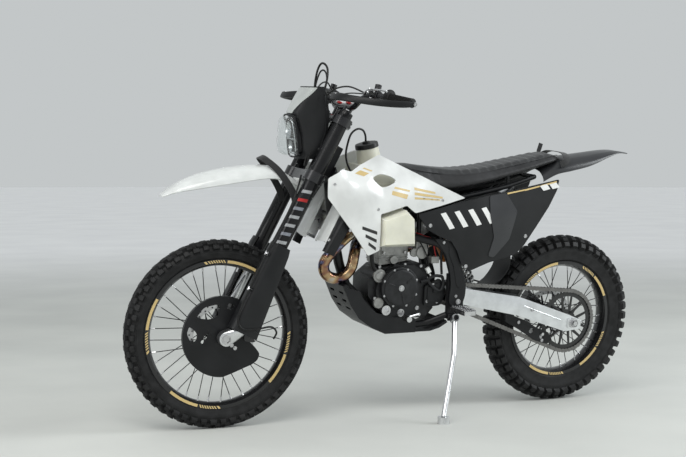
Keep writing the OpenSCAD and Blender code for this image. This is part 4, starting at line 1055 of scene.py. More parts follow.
def seat():
    rows = spline([[float(c) for c in r] for r in SEAT_ROWS], 4)
    s = Shape()
    rings = []
    shrink = 2.5
    for x, t, l, a, b in rows:
        h = t - l
        t, a, b = t - shrink, a - shrink, b - shrink
        half = [(b * 0.93, l), (b, l + h * 0.14), (b * 0.985, l + h * 0.34), ((a + b) / 2, l + h * 0.64),
                (a * 1.04, t - h * 0.17), (a * 0.9, t - h * 0.05), (a * 0.6, t - h * 0.01)]
        rings.append([(x, y, z) for y, z in half] + [(x, 0, t)] + [(x, -y, z) for y, z in half[::-1]])
    s.rings(rings)
    pad = piece("seat_cover", s, BIKE, "chassis", ["seat", "seat_side"], smooth=60, fix=True,
                replaces=["seat"], ride=False)
    m = pad.modifiers.new("remesh", "REMESH")
    m.mode = "VOXEL"
    m.voxel_size = 0.0055
    bpy.context.view_layer.objects.active = pad
    bpy.ops.object.select_all(action="DESELECT")
    pad.select_set(True)
    bpy.ops.object.modifier_apply(modifier="remesh")
    simulate(pad, 0.007)
    # Ribs across the top and the sewn edge along each side
    world = np.array([v.co for v in pad.data.vertices])
    back = np.array(BIKE.inverted())
    p = world @ back[:3, :3].T + back[:3, 3]
    r = np.array(rows)
    order = np.argsort(r[:, 0])
    top = np.interp(p[:, 0], r[order, 0], r[order, 1])
    low = np.interp(p[:, 0], r[order, 0], r[order, 2])
    width = np.interp(p[:, 0], r[order, 0], r[order, 3])
    up = (p[:, 2] - low) / (top - low)
    across = np.abs(p[:, 1]) / width
    on_top = np.clip((up - 0.62) / 0.2, 0, 1) * np.clip((1.16 - across) / 0.12, 0, 1)
    start, end, gap = 105.0, 560.0, 38.0
    phase = (p[:, 0] - start) / gap
    in_ribs = np.clip((p[:, 0] - start) / 20, 0, 1) * np.clip((end - p[:, 0]) / 20, 0, 1)
    saw = phase - np.floor(phase)
    rib = np.where(saw < 0.25, saw / 0.25, (1 - saw) / 0.75)
    p[:, 2] += (rib - 0.5) * 3.4 * on_top * in_ribs
    seam = np.exp(-(((up - 0.80) / 0.045) ** 2)) * (p[:, 0] > 85)
    p[:, 1] -= np.sign(p[:, 1]) * seam * 1.6
    m4 = np.array(BIKE)
    pad.data.vertices.foreach_set("co", (p @ m4[:3, :3].T + m4[:3, 3]).ravel())
    pad.data.update()
    for f in pad.data.polygons:
        f.use_smooth = True
    for f in pad.data.polygons:
        c = np.array(f.center) @ back[:3, :3].T + back[:3, 3]
        t = np.interp(c[0], r[order, 0], r[order, 1])
        l = np.interp(c[0], r[order, 0], r[order, 2])
        f.material_index = 0 if (c[2] - l) / (t - l) > 0.8 else 1
    sub = pad.modifiers.new("sub", "SUBSURF")
    sub.levels = sub.render_levels = 1
    bpy.ops.object.modifier_apply(modifier="sub")
    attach(pad, "chassis")
    # Stitched piping along both upper edges
    pipe = Shape()
    line = []
    for x, t, l, a, b in rows[1:-2]:
        h = t - l
        q = 0.8
        y = (a + b) / 2 + ((a * 1.04) - (a + b) / 2) * (q - 0.64) / 0.19
        line.append((x, y + 0.2, l + h * q))
    pipe.tube(line, 1.4, 8)
    piece("seat_piping", mirrored(pipe), BIKE, "chassis", "seat", smooth=60)


seat()

# ------------------------------------------------------------------ fenders and straps


def arch_sheet(rows, cols, thick):
    """Curved sheet with a rolled lower edge. Rows: x, height, half width, drop."""
    rows = spline([[float(c) for c in r] for r in rows], 8)
    n = len(rows)
    outer, inner = [], []
    for x, z, half, drop in rows:
        o, i = [], []
        for k in range(cols):
            u = 2 * k / (cols - 1) - 1
            y, q = half * math.sin(math.radians(90 * u)), z - drop * (1 - math.cos(math.radians(90 * u)))
            ridge = 1.2 * math.exp(-((abs(u) - 0.42) / 0.07) ** 2)
            o.append((x, y, q + ridge))
            roll = 2.2 * max(0, (abs(u) - 0.9) / 0.1)
            i.append((x, y * (1 - (thick - 0.9 + roll * 0.4) / half), q - thick * 0.8 + ridge))
        outer.append(o)
        inner.append(i)
    s = Shape()
    v = np.array(outer + inner).reshape(-1, 3)
    faces = []
    m = n * cols
    at = lambda i, j, b: b * m + i * cols + j
    for i in range(n - 1):
        for j in range(cols - 1):
            faces.append([at(i, j, 0), at(i, j + 1, 0), at(i + 1, j + 1, 0), at(i + 1, j, 0)])
            faces.append([at(i, j, 1), at(i + 1, j, 1), at(i + 1, j + 1, 1), at(i, j + 1, 1)])
        for j in (0, cols - 1):
            quad = [at(i, j, 0), at(i + 1, j, 0), at(i + 1, j, 1), at(i, j, 1)]
            faces.append(quad if j == 0 else quad[::-1])
    for i in (0, n - 1):
        for j in range(cols - 1):
            quad = [at(i, j, 0), at(i, j, 1), at(i, j + 1, 1), at(i, j + 1, 0)]
            faces.append(quad if i == 0 else quad[::-1])
    s.add(v, faces)
    return s


REAR_FENDER = [
    [-286, 1020, 26, 1], [-226, 1029, 50, 6], [-165, 1028, 66, 20], [-67, 1018, 84, 42],
    [30, 1006, 92, 50], [100, 990, 92, 48], [160, 958, 88, 46]
]
FRONT_FENDER = [
    [1142, 860, 46, 12], [1200, 914, 58, 22], [1262, 950, 66, 34], [1326, 968, 72, 46],
    [1447, 960, 76, 54], [1558, 936, 72, 48], [1632, 907, 60, 32], [1680, 876, 42, 14],
    [1702, 856, 26, 4]
]


def fenders():
    s = arch_sheet(REAR_FENDER, 25, 3.5)
    piece("rear_fender_skin", s, BIKE, "chassis", "dark_grey", smooth=40,
          replaces=["rear_fender"])
    s = arch_sheet(FRONT_FENDER, 25, 3.0)
    # Pad under the lower clamp
    piece("front_fender_skin", s, FORK_BIKE, "steering", "clear_white", smooth=40,
          replaces=["front_fender"])
    t = Shape()
    t.box((29, 0, 990.8), (50, 60, 25.6))
    piece("front_fender_pad", t, FORK, "steering", "clear_white", bevel=3)
    # Strap round the seat's rear end, and its tail that stands up
    band = Shape()
    route = [(88, 92, 978), (66, 94, 992), (56, 80, 1010), (52, 50, 1021.5), (52, 0, 1023.5),
             (52, -50, 1021.5),
             (56, -80, 1010), (66, -94, 992), (88, -92, 978)]
    route = spline([list(map(float, p)) for p in route], 4)
    rings = []
    for i, p in enumerate(route):
        a, b = np.array(route[max(i - 1, 0)]), np.array(route[min(i + 1, len(route) - 1)])
        t = unit(b - a)
        w = np.array([1.0, 0, 0.1])
        w = unit(w - t * np.dot(w, t))
        n = np.cross(t, w)
        p = np.array(p)
        rings.append([p + w * 15 + n * 1.2, p - w * 15 + n * 1.2, p - w * 15 - n * 1.2, p + w * 15 - n * 1.2])
    band.rings(rings)
    tail = [(74, -84, 1000), (77, -86, 1014), (72, -87, 1030), (66, -88, 1048)]
    rings = []
    for p in spline([list(map(float, q)) for q in tail], 4):
        p = np.array(p)
        w, n = unit([0.92, -0.1, 0.3]) * 9, np.array([0.1, 0.99, 0]) * 1.2
        rings.append([p + w + n, p - w + n, p - w - n, p + w - n])
    band.rings(rings)
    piece("seat_strap", band, BIKE, "chassis", "strap", smooth=50)
    # Lift strap over the front fender, from fork leg to fork leg
    side = 107 - 28 - 1.8
    path = spline([[34., side, 905.], [66, side, 942], [142, 66, 986], [198, 34, 1004], [213, 0, 1008],
                   [198, -34, 1004], [142, -66, 986], [66, -side, 942], [34, -side, 905]], 6)
    strap = Shape()
    rings = []
    for i, p in enumerate(path):
        t = unit(np.array(path[min(i + 1, len(path) - 1)]) - np.array(path[max(i - 1, 0)]))
        w = unit([0.62, 0, -0.78])
        n = unit(np.cross(t, w))
        p = np.array(p)
        rings.append([p + w * 13 + n * 1.0, p + w * 11 + n * 1.6, p - w * 11 + n * 1.6, p - w * 13 + n * 1.0,
                      p - w * 13 - n * 1.0, p - w * 11 - n * 1.6, p + w * 11 - n * 1.6, p + w * 13 - n * 1.0])
    strap.rings(rings)
    piece("fender_strap", strap, FORK, "steering", "strap", smooth=50,
          replaces=["lift_strap"])


fenders()

# ------------------------------------------------------------------ fork and wheel guards


def wrap(shape, centre, r, ring, mat, holes=()):
    """A thin graphic on an upright tube: the ring is (degrees from +f towards +y, height)."""
    k = math.radians(1) * r
    pts, faces = mesh_plan([(a * k, s) for a, s in ring], [[(a * k, s) for a, s in h] for h in holes], 5)
    shape.mat = mat
    a = pts[:, 0] / r
    shape.add(np.column_stack([centre[0] + r * np.cos(a), centre[1] + r * np.sin(a), pts[:, 1]]),
              [list(f)[::-1] for f in faces])


def fork():
    s = Shape()
    for side in (-1, 1):
        y = side * LEG_Y
        profile = [(700, 24), (700, 27), (702, 28), (960, 28), (964, 28), (1180, 28), (1230, 27.4),
                   (1272, 27.4),
                   (1286, 28), (1288, 27), (1289, 22), (1290, 22), (1291, 17), (1294.5, 16.5), (1296, 15)]
        s.lathe([(p, q) for p, q in profile] + [(1296, 6), (1292, 5), (1292, 0.01)], (LEG_F, y, 0),
                (0, 0, 1), 48)
        # Dust seal at the foot of the outer tube
        s.lathe([(698, 24.4), (694, 27), (686, 27), (684, 24.4)], (LEG_F, y, 0), (0, 0, 1), 48)
    piece("fork_outer_tubes", s, FORK, "steering", "black_gloss", smooth=30,
          replaces=["fork_tubes"])
    d = Shape()
    for side in (-1, 1):
        c = (LEG_F, side * LEG_Y)
        m = lambda ring: [(a if side > 0 else -a, z) for a, z in (ring if side > 0 else ring[::-1])]
        r = 28.35
        # Plain cross bars down the tube, evenly spaced
        for k, mat in enumerate((0, 1, 2, 0, 0, 2, 0)):
            z = 966 - k * 34
            wrap(d, c, r, m([(34, z - 14), (108, z - 4), (108, z + 8), (34, z - 2)]), mat)
    piece("fork_graphics", d, FORK, "steering", ["grey_decal", "red", "blue_grey"], smooth=40,
          fix=False)
    # Clamp bolts
    b = Shape()
    for side in (-1, 1):
        y = side * LEG_Y
        for z in (1014, 1032, 1243, 1257):
            b.tube([(LEG_F - 31, y - 9 * side, z), (LEG_F - 31, y + 14 * side, z)], 6.6, 16)
            b.bolt([LEG_F - 31, y + 14 * side, z], (0, side, 0), 4.3, 4, False)
        b.tube([(LEG_F, y, 1296), (LEG_F, y, 1300)], 7, 6)
    for y in (-46, 46):
        b.bolt([6, y, 1321 + 14.5], (0, 0, 1), 4.6, 5)
    b.lathe([(1276, 9), (1276, 16.5), (1281, 16.5), (1285, 13), (1285, 9)], (0, 0, 0), (0, 0, 1), 6)
    piece("clamp_bolts", b, FORK, "steering", "steel", smooth=35)
    c = Shape()
    for y in (-46, 46):
        c.lathe([(1264, 17.6), (1264, 19.6), (1277, 19.6), (1279, 17.6)], (6, y, 0), (0, 0, 1), 36)
        c.box((6, y, 1333), (34, 20, 9))
    piece("bar_mounts", c, FORK, "steering", "red", bevel=1.2)
    # Slotted guards in front of the lower legs
    g = Shape()
    for side in (-1, 1):
        rings = []
        for z in np.linspace(404, 748, 15):
            t = (748 - z) / 344
            front, rear = 61 + 1.5 * t, -6 - 34 * t
            outer = 31 + 3 * math.sin(t * math.pi) * 0.6
            path = [(front - 6, -24), (front, -18), (front + 0.5, 6), (front - 1, outer - 12),
                    (front - 12, outer - 1),
                    (front - 24, outer), ((front + rear) / 2, outer + 1), (rear + 10, outer - 1),
                    (rear, outer - 6),
                    (rear - 0.5, 8), (rear, -2)]
            path = np.array(path, float)
            if z > 735:
                path[:, 0] = (path[:, 0] - LEG_F) * (1 - 0.1 * (z - 735) / 13) + LEG_F
            tang = np.gradient(path, axis=0)
            nrm = np.column_stack([-tang[:, 1], tang[:, 0]])
            nrm /= np.linalg.norm(nrm, axis=1)[:, None]
            loop = np.concatenate([path, (path + nrm * -2.6)[::-1]])
            rings.append([(f, side * (LEG_Y + y), z) for f, y in loop])
        g.rings(rings)
        # A pressed line along the guard and its three fasteners
        g.tube([(34, side * (LEG_Y + 32.4), 712), (22, side * (LEG_Y + 33.2), 560),
                (8, side * (LEG_Y + 32.4), 430)],
               1.8, 8)
    piece("fork_leg_guards", g, FORK, "steering", "black_plastic", smooth=40,
          replaces=["fork_guards"])
    f = Shape()
    for side in (-1, 1):
        for q, z in ((46, 424), (-24, 430), (2, 470)):
            f.bolt([q, side * (LEG_Y + 29.6), z], (0, side, 0), 4.4, 4)
        # Pinch bolts on the axle lug
        for q, z in ((30, 354), (14, 350)):
            f.bolt([q, side * (LEG_Y + 14), z - 4], (0, side, 0), 5.2, 5)
    f.lathe([(LEG_Y + 17, 13), (LEG_Y + 17, 17), (LEG_Y + 23, 17), (LEG_Y + 23, 13)], (57, 0, 361),
            (0, 1, 0), 6)
    f.lathe([(LEG_Y + 15, 10), (LEG_Y + 15, 20), (LEG_Y + 18.6, 20), (LEG_Y + 18.6, 10)], (57, 0, 361),
            (0, 1, 0), 32)
    piece("fork_fasteners", f, FORK, "steering", "steel", smooth=35)


M["blue_grey"] = Mat("blue_grey", (0.2, 0.215, 0.25),
                     0.35).mottle(60, 0.1).roughen(60, 0.05).grain(2500, 0.04).m
fork()


def wheel_guard():
    """Round guard outside the front disc, with windows, ridges and a tail behind."""
    axle = (AXLE_F, AXLE_S)
    a = np.radians(np.arange(-118, 152, 5))
    ring = [(148 * math.cos(q), 148 * math.sin(q)) for q in a]
    ring += [(-60, 112), (-52, 72), (-58, 40), (-128, 18), (-158, 4), (-162, -20), (-150, -44)]
    ring = [(x + axle[0], z + axle[1]) for x, z in ring]
    ring = rounded(ring, 8, 2)
    # Windows ahead of the leg
    w1 = rounded([(axle[0] + x, axle[1] + z) for x, z in ((72, 36), (122, 20), (112, 66), (66, 102),
                                                          (48, 66))], 12)
    w2 = rounded([(axle[0] + x, axle[1] + z) for x, z in ((92, -28), (130, -16), (126, -46), (98, -68),
                                                          (82, -52))], 10)
    w3 = rounded([(axle[0] + x, axle[1] + z) for x, z in ((50, -8), (60, -10), (66, -52), (56, -54))], 4)
    w4 = rounded([(axle[0] + x, axle[1] + z) for x, z in ((14, 104), (34, 98), (36, 118), (18, 124))], 6)
    holes = (w1, w2, w3, w4)
    r_of = lambda p: np.hypot(p[:, 0] - axle[0], p[:, 1] - axle[1])

    def depth(q):
        q = np.atleast_2d(np.array(q, float))
        r = r_of(q)
        x, z = q[:, 0] - axle[0], q[:, 1] - axle[1]
        y = 69 - 3.0 * np.clip((r - 118) / 30, 0, 1) ** 2
        band = np.clip((12 - np.abs(z - x * 0.32 + 4)) / 5, 0, 1) * np.clip((x + 20) / 20, 0, 1)
        low = np.clip((-(z + 56 - x * 0.12)) / 6, 0, 1)
        return y + band * 2.0 + low * 1.8
    s = Shape()
    skin(s, mesh_plan(ring, holes, 6), depth, 3)
    # Rim that turns in towards the disc
    s.lathe([(46, 147.5), (64, 148), (66, 147), (66, 144.5), (46, 145)], (axle[0], 0, axle[1]), (0, 1, 0),
            90, True,
            start=-122, arc=236)
    piece("front_disc_guard", s, FORK, "steering", "black_plastic", smooth=28,
          replaces=["disc_guard"],
          fix=False)
    c = Shape()
    # Caliper body, pins, hose fitting and its mounting bolts
    turn = Matrix.Rotation(math.radians(18), 4, "Y")
    place = Matrix.Translation((AXLE_F, 0, AXLE_S)) @ turn
    body = Shape()
    outline = rounded([(-128, 4), (-118, -6), (-84, -6), (-78, 2), (-78, 78), (-86, 88), (-120, 88),
                       (-128, 78)], 6)
    body.prism(outline, 59, 80)
    body.prism(outline, 38, 42.6)
    body.box((-124, 51, 41), (8, 20, 86))
    for z in (22, 60):
        body.tube([(-104, 80, z), (-104, 84, z)], 15, 28)
        body.tube([(-104, 80, z), (-104, 85.4, z)], 9, 6)
    c.moved(place, body)
    c.box((-17.6, 83, 420), (50, 10, 30))
    piece("front_caliper_body", c, FORK, "steering", "anodised", bevel=1.4, smooth=35,
          replaces=["front_caliper"])
    b = Shape()
    pins = Shape()
    for x, z in ((-122, 8), (-122, 74), (-84, 80)):
        pins.bolt([x, 80, z], (0, 1, 0), 4.6, 5)
    pins.bolt([-106, 80, 90], (0, 0, 1), 5.5, 8)
    b.moved(place, pins)
    for f_, z in ((-4, 412), (-4, 428)):
        b.bolt([f_, 88, z], (0, 1, 0), 4.8, 5)
    piece("front_caliper_bolts", b, FORK, "steering", "steel", smooth=35)
    # Brake hose down the front of the leg, over the guard and round to the caliper
    h = Shape()
    route = spline([[70., 88, 1010], [74, 128, 960], [70, 142, 880], [72, 143, 780], [74, 142, 700],
                    [72, 141, 560],
                    [62, 141, 452], [30, 145, 420], [-20, 140, 440], [-70, 128, 470], [-108, 104, 462],
                    [-118, 82, 436]], 6)
    h.tube(route, 3.6, 10)
    piece("front_brake_line", h, FORK, "steering", "hose", smooth=60)
    k = Shape()
    for z in (700, 560):
        k.tube([(73, 137, z - 7), (73, 137, z + 7)], 6.6, 14)
        k.tube([(60, 134, z), (76, 147, z)], 2.4, 10)
    piece("brake_line_clips", k, FORK, "steering", "steel", smooth=35)


wheel_guard()

# ------------------------------------------------------------------ lamp and mask

MASK_ROWS = np.array([
    [992, 1190, 1150, 50, 60], [1030, 1196, 1124, 58, 72], [1080, 1200, 1104, 60, 75],
    [1132, 1214, 1096, 60, 76],
    [1160, 1226, 1096, 58, 76], [1208, 1200, 1104, 62, 76], [1257, 1170, 1118, 66, 74]], float)


def mask_row(z):
    return [np.interp(z, MASK_ROWS[:, 0], MASK_ROWS[:, k]) for k in (1, 2, 3, 4)]


def mask_front(z, y):
    x1, _, w, _ = mask_row(z)
    return x1 + 3 - 14 * np.clip(np.abs(y) / w, 0, 1) ** 2.4


def mask():
    s = Shape()
    rings = []
    for z in np.linspace(992, 1257, 30):
        x1, x2, w1, w2 = mask_row(z)
        half = [(x2, w2), (x2 + (x1 - x2) * 0.25, w2 + 1.0), (x2 + (x1 - x2) * 0.5, (w1 + w2) / 2 + 3.5),
                (x2 + (x1 - x2) * 0.75, w1 + 3.2), (x1 - 13, w1 - 1), (x1 - 9, w1 - 5)]
        front = [(mask_front(z, y * w1), y * w1) for y in (0.85, 0.66, 0.45, 0.2, 0)]
        line = half + front
        line = line + [(x, -y) for x, y in line[-2::-1]]
        path = np.array(line, float)
        tang = np.gradient(path, axis=0)
        nrm = np.column_stack([tang[:, 1], -tang[:, 0]])
        nrm /= np.linalg.norm(nrm, axis=1)[:, None]
        loop = np.concatenate([path, (path + nrm * 3)[::-1]])
        rings.append([(x, y, z) for x, y in loop])
    s.rings(rings)
    # Raised rim round the lamp's opening, and ribs on the shell's sides
    for side in (-1, 1):
        s.tube(spline([[1204., side * 55, 1008], [1209, side * 59, 1060], [1216, side * 58, 1110],
                       [1226, side * 54, 1142],
                       [1231, side * 30, 1151]], 5), 3.4, 10)
        s.tube([(1116, side * 78.4, 1230), (1110, side * 79.4, 1160), (1112, side * 79.0, 1090),
                (1130, side * 74, 1030)],
               1.6, 8)
        s.box((1128, side * 74, 1215), (26, 4, 18))
    s.tube([(1231, -30, 1151), (1232, 0, 1152), (1231, 30, 1151)], 3.4, 10)
    s.tube(spline([[1204., -55, 1008], [1207, -30, 1000], [1208, 0, 998], [1207, 30, 1000],
                   [1204, 55, 1008]], 4), 3.2, 10)
    piece("mask_shell", s, FORK_BIKE, "steering", "black_plastic", smooth=35,
          replaces=["headlight_mask"])
    # Blank plate that wraps the top of the mask and narrows in a curve towards the lamp
    p = Shape()
    rows_z = np.linspace(1158, 1253, 26)
    grid, k = [], 41
    for z in rows_z:
        x1, x2, w1, w2 = mask_row(z)
        half = [(mask_front(z, y * w1), y * w1) for y in (0, 0.2, 0.45, 0.66, 0.85)]
        half += [(x1 - 9, w1 - 5), (x1 - 13, w1 - 1), (x2 + (x1 - x2) * 0.75, w1 + 3.2),
                 (x2 + (x1 - x2) * 0.5, (w1 + w2) / 2 + 3.5), (x2 + (x1 - x2) * 0.25, w2 + 1), (x2, w2)]
        half = np.array(half)
        run = np.concatenate([[0], np.cumsum(np.linalg.norm(np.diff(half, axis=0), axis=1))])
        t = (z - 1158) / 95
        reach = 34 + (w1 - 34 + (x1 - x2) * 0.5) * (t ** 1.5 if t < 0.62 else 0.488 + (t - 0.62) * 1.1)
        u = np.linspace(-1, 1, k) * min(reach, run[-1] - 6)
        x = np.interp(np.abs(u), run, half[:, 0])
        y = np.interp(np.abs(u), run, half[:, 1]) * np.sign(u)
        path = np.column_stack([x, y])
        tang = np.gradient(path, axis=0)
        nrm = np.column_stack([tang[:, 1], -tang[:, 0]])
        nrm /= np.linalg.norm(nrm, axis=1)[:, None]
        grid.append(([(a + n0 * 1.8, b + n1 * 1.8, z) for (a, b), (n0, n1) in zip(path, nrm)],
                     [(a + n0 * 0.2, b + n1 * 0.2, z) for (a, b), (n0, n1) in zip(path, nrm)]))
    g = np.array([a for a, _ in grid])
    back = np.array([b for _, b in grid])
    n = len(grid)
    v = np.concatenate([g.reshape(-1, 3), back.reshape(-1, 3)])
    f = []
    at = lambda i, j, b: b * n * k + i * k + j
    for i in range(n - 1):
        for j in range(k - 1):
            f.append([at(i, j, 0), at(i, j + 1, 0), at(i + 1, j + 1, 0), at(i + 1, j, 0)])
            f.append([at(i, j, 1), at(i + 1, j, 1), at(i + 1, j + 1, 1), at(i, j + 1, 1)])
        for j in (0, k - 1):
            f.append([at(i, j, 0), at(i + 1, j, 0), at(i + 1, j, 1), at(i, j, 1)])
    for i in (0, n - 1):
        for j in range(k - 1):
            f.append([at(i, j, 0), at(i, j, 1), at(i, j + 1, 1), at(i, j + 1, 0)])
    p.add(v, f)
    piece("mask_plate", p, FORK_BIKE, "steering", "plate_white", smooth=35)
    # Lamp: black housing, reflector with two bright bars, clear cover
    h = Shape()
    rings = []
    for x, grow in ((1197, 0.97), (1206, 1.0), (1214, 0.99), (1214, 0.93), (1208, 0.9)):
        rings.append([(x + (z0 - 1078) * 0.16, y * grow, 1076 + (z0 - 1076) * grow) for y, z0 in rounded(
            [(-50, 1008), (50, 1008), (52, 1080), (42, 1140), (-42, 1140), (-52, 1080)], 14, 5)])
    h.rings(rings)
    piece("lamp_housing", h, FORK_BIKE, "steering", "black_gloss", smooth=35,
          replaces=["headlight"])
    r = Shape()
    for z, rad in ((1096, 31), (1036, 21)):
        r.lathe([(0, rad), (2, rad), (-6, rad * 0.72), (-12, rad * 0.4), (-14, 6), (-4, 6), (-3, 0.01)],
                (1222 + (z - 1078) * 0.16, 0, z), (1, 0, 0), 40)
    r.box((1216, 0, 1064), (6, 74, 5))
    r.box((1208, 0, 1014), (6, 60, 4))
    for side in (-1, 1):
        r.tube(spline([[1212., side * 46, 1020], [1218, side * 48, 1070], [1225, side * 42, 1118],
                       [1229, side * 34, 1132]], 5),
               2.6, 10)
    piece("lamp_reflector", r, FORK_BIKE, "steering", "reflector", smooth=40)
    c = Shape()
    rings = []
    for z, x0, x1, w0, w1 in spline([[1004., 1200, 1238, 34, 44], [1020, 1202, 1256, 42, 52],
                                     [1080, 1208, 1258, 44, 54],
                                     [1130, 1220, 1254, 40, 50], [1146, 1227, 1242, 36, 44]], 6):
        half = [(x0, w1), (x0 + (x1 - x0) * 0.45, w1), (x1 - 12, w1 - 1.5), (x1 - 5, w1 - 5),
                (x1 - 1.5, w0 - 2),
                (x1 + 1, w0 * 0.6), (x1 + 2.6, w0 * 0.25), (x1 + 3, 0)]
        line = np.array(half + [(x, -y) for x, y in half[-2::-1]])
        tang = np.gradient(line, axis=0)
        nrm = np.column_stack([tang[:, 1], -tang[:, 0]])
        nrm /= np.linalg.norm(nrm, axis=1)[:, None]
        inner = line - nrm * 1.6 if (line[0] - nrm[0] * 1.6)[1] < line[0][1] else line + nrm * 1.6
        rings.append([(x, y, z) for x, y in np.concatenate([line, inner[::-1]])])
    c.rings(rings)
    piece("lamp_cover", c, FORK_BIKE, "steering", "lens", smooth=40)


M["plate_white"] = plastic("plate_white", (0.42, 0.44, 0.43), 0.12, 900, 0.03)
mask()

# ------------------------------------------------------------------ handlebar and controls


def controls():
    s = Shape()
    s.tube(spline([[6., -72, BAR_S], [6, -30, BAR_S], [6, 30, BAR_S], [6, 72, BAR_S]], 4), 14, 24)
    for side in (-1, 1):
        bend = spline([[6., side * 60, BAR_S], [8, side * 100, BAR_S + 4], [12, side * 150, BAR_S + 34],
                       [4, side * 200, BAR_S + 52], [-14, side * 260, BAR_S + 58],
                       [-72, side * 405, BAR_S + 64]], 8)
        s.tube(bend, [14 - 3 * min(1, i / 10) for i in range(len(bend))], 20)
    piece("bar_tube", s, FORK, "steering", "anodised", smooth=50, replaces=["handlebar"])
    g = Shape()
    for side in (-1, 1):
        a = np.array([-26.0, side * 290, BAR_S + 59.5])
        b = np.array([-72.0, side * 405, BAR_S + 64])
        v = b - a
        pts, radii = [], []
        for t, r in ((-0.03, 24), (-0.02, 29.5), (0.02, 30), (0.03, 26), (0.05, 18)):
            pts.append(a + v * t)
            radii.append(r)
        for k in range(34):
            t = 0.07 + k * 0.0255
            pts += [a + v * t, a + v * (t + 0.008), a + v * (t + 0.0085), a + v * (t + 0.0175)]
            radii += [16.4, 16.4, 15.3, 15.3]
        pts += [a + v * 0.945, a + v * 0.96, a + v * 0.975]
        radii += [17, 17, 13]
        g.tube(pts, radii, 28)
    piece("grip_rubbers", g, FORK, "steering", "grip", smooth=40, replaces=["grips"])
    h, e = Shape(), Shape()
    for side in (-1, 1):
        path = spline([[-78., side * 410, BAR_S + 64], [-30, side * 416, BAR_S + 38],
                       [44, side * 402, BAR_S + 6],
                       [108, side * 366, BAR_S - 16], [146, side * 316, BAR_S - 28],
                       [152, side * 250, BAR_S - 30],
                       [128, side * 192, BAR_S - 14], [76, side * 150, BAR_S + 8],
                       [24, side * 134, BAR_S + 22]], 7)
        rings = []
        for i, p in enumerate(path):
            t = unit(path[min(i + 1, len(path) - 1)] - path[max(i - 1, 0)])
            n = unit(np.cross(t, (0, 0, 1)))
            w = np.cross(n, t)
            wide = 12.5 - 3.5 * (abs(i / (len(path) - 1) - 0.5) * 2) ** 4
            ring = []
            for k in range(16):
                q = 2 * math.pi * k / 16
                c_, s_ = math.cos(q), math.sin(q)
                ring.append(p + wide * math.copysign(abs(c_) ** 0.6,
                                                     c_) * w + 6.2 * math.copysign(abs(s_) ** 0.6, s_) * n)
            rings.append(ring)
        h.rings(rings)
        e.bolt([-75, side * 417, BAR_S + 62], (-0.3, side, 0), 5.5, 4)
        for t in (0.32, 0.6):
            p = path[int(t * (len(path) - 1))]
            e.bolt(p + np.array([0, 0, 11.4]), (0, 0, 1), 4, 3)
    piece("hand_guard_bars", h, FORK, "steering", "black_plastic", smooth=45,
          replaces=["handguards"])
    piece("hand_guard_bolts", e, FORK, "steering", "steel", smooth=35)
    l, p, k = Shape(), Shape(), Shape()
    for side in (-1, 1):
        perch = np.array([-4.0, side * 226, BAR_S + 55.5])
        o = lambda x, y, z: perch + (x, side * y, z)
        p.tube([o(4, -13, 1.5), o(-4, 13, 1.5)], 16.5, 28)
        p.tube([o(4, 0, 14), o(6, -1, 20), o(7, -2, 24)], [11, 12.5, 12.5], 24)
        p.tube([o(7, -2, 24), o(10, -4, 38)], [13, 13], 8)
        p.tube([o(8, 0, 2), o(22, 1, 2), o(36, 2, 2)], [9, 8, 7.5], 16)
        p.tube([o(30, -26, 2), o(34, 0, 2), o(36, 10, 2)], [6, 8, 6], 14)
        l.tube([o(36, 2, -7), o(36, 2, 11)], 6.5, 18)
        blade = spline([o(36, -2, 2), o(43, 30, 2), o(44, 70, 2), o(38, 110, 3), (29, side * 372, BAR_S + 58),
                        (26, side * 380, BAR_S + 58)], 7)
        l.tube(blade, [5.5] * 6 + [4.2] * (len(blade) - 9) + [5, 5.6, 5.2], 14, flat=0.72, up=(0, 0, 1))
        k.bolt(o(10, -4, 38), (0.1, 0, 1), 4, 3)
        for dy in (-8, 8):
            k.bolt(o(18, dy, 6), (1, 0, 0), 3, 4)
        # Switch block and cable boots beside the perch
        p.box(o(6, -40, 0), (26, 20, 26))
        k.tube([o(22, -40, 4), o(25, -40, 4)], 5, 14)
        p.tube([o(30, -26, 2), o(26, -46, 2), o(20, -66, -4)], [5.5, 4.5, 3.4], 12)
    piece("lever_blades", l, FORK, "steering", "silver", smooth=45, replaces=["hand_levers"])
    piece("lever_perches", p, FORK, "steering", "anodised", bevel=0.8, smooth=40)
    piece("lever_screws", k, FORK, "steering", "steel", smooth=35)
    # Cable loops over the mask, and cables down to the frame side of the clamps
    c = Shape()
    c.tube(spline([[118., 58, 1284], [132, 60, 1356], [146, 50, 1400], [158, 30, 1417], [164, 4, 1417],
                   [160, -14, 1396],
                   [146, -24, 1356], [120, -30, 1300]], 8), 4, 12)
    c.tube(spline([[112., 40, 1284], [124, 44, 1350], [136, 36, 1384], [148, 16, 1398], [150, -6, 1386],
                   [138, -20, 1340],
                   [112, -26, 1290]], 8), 3.2, 10)
    c.tube(spline([[22., 160, BAR_S + 54], [70, 120, BAR_S + 52], [104, 84, BAR_S + 20], [112, 66, 1290],
                   [92, 58, 1200],
                   [72, 56, 1080], [66, 60, 1050]], 7), 3, 10)
    c.tube(spline([[22., -160, BAR_S + 54], [74, -110, BAR_S + 66], [112, -60, BAR_S + 30], [112, -40, 1280],
                   [90, -50, 1200],
                   [70, -56, 1080]], 7), 3, 10)
    c.tube(spline([[16., 186, BAR_S + 50], [60, 128, BAR_S + 30], [96, 92, BAR_S - 10], [90, 70, 1250],
                   [76, 66, 1150],
                   [62, 62, 1060]], 7), 2.4, 8)
    for q in (1250, 1150):
        c.box((84 if q > 1200 else 76, 62, q), (16, 18, 5))
    piece("control_cables", c, FORK, "steering", "hose", smooth=60, replaces=["brake_hose"])
    w = Shape()
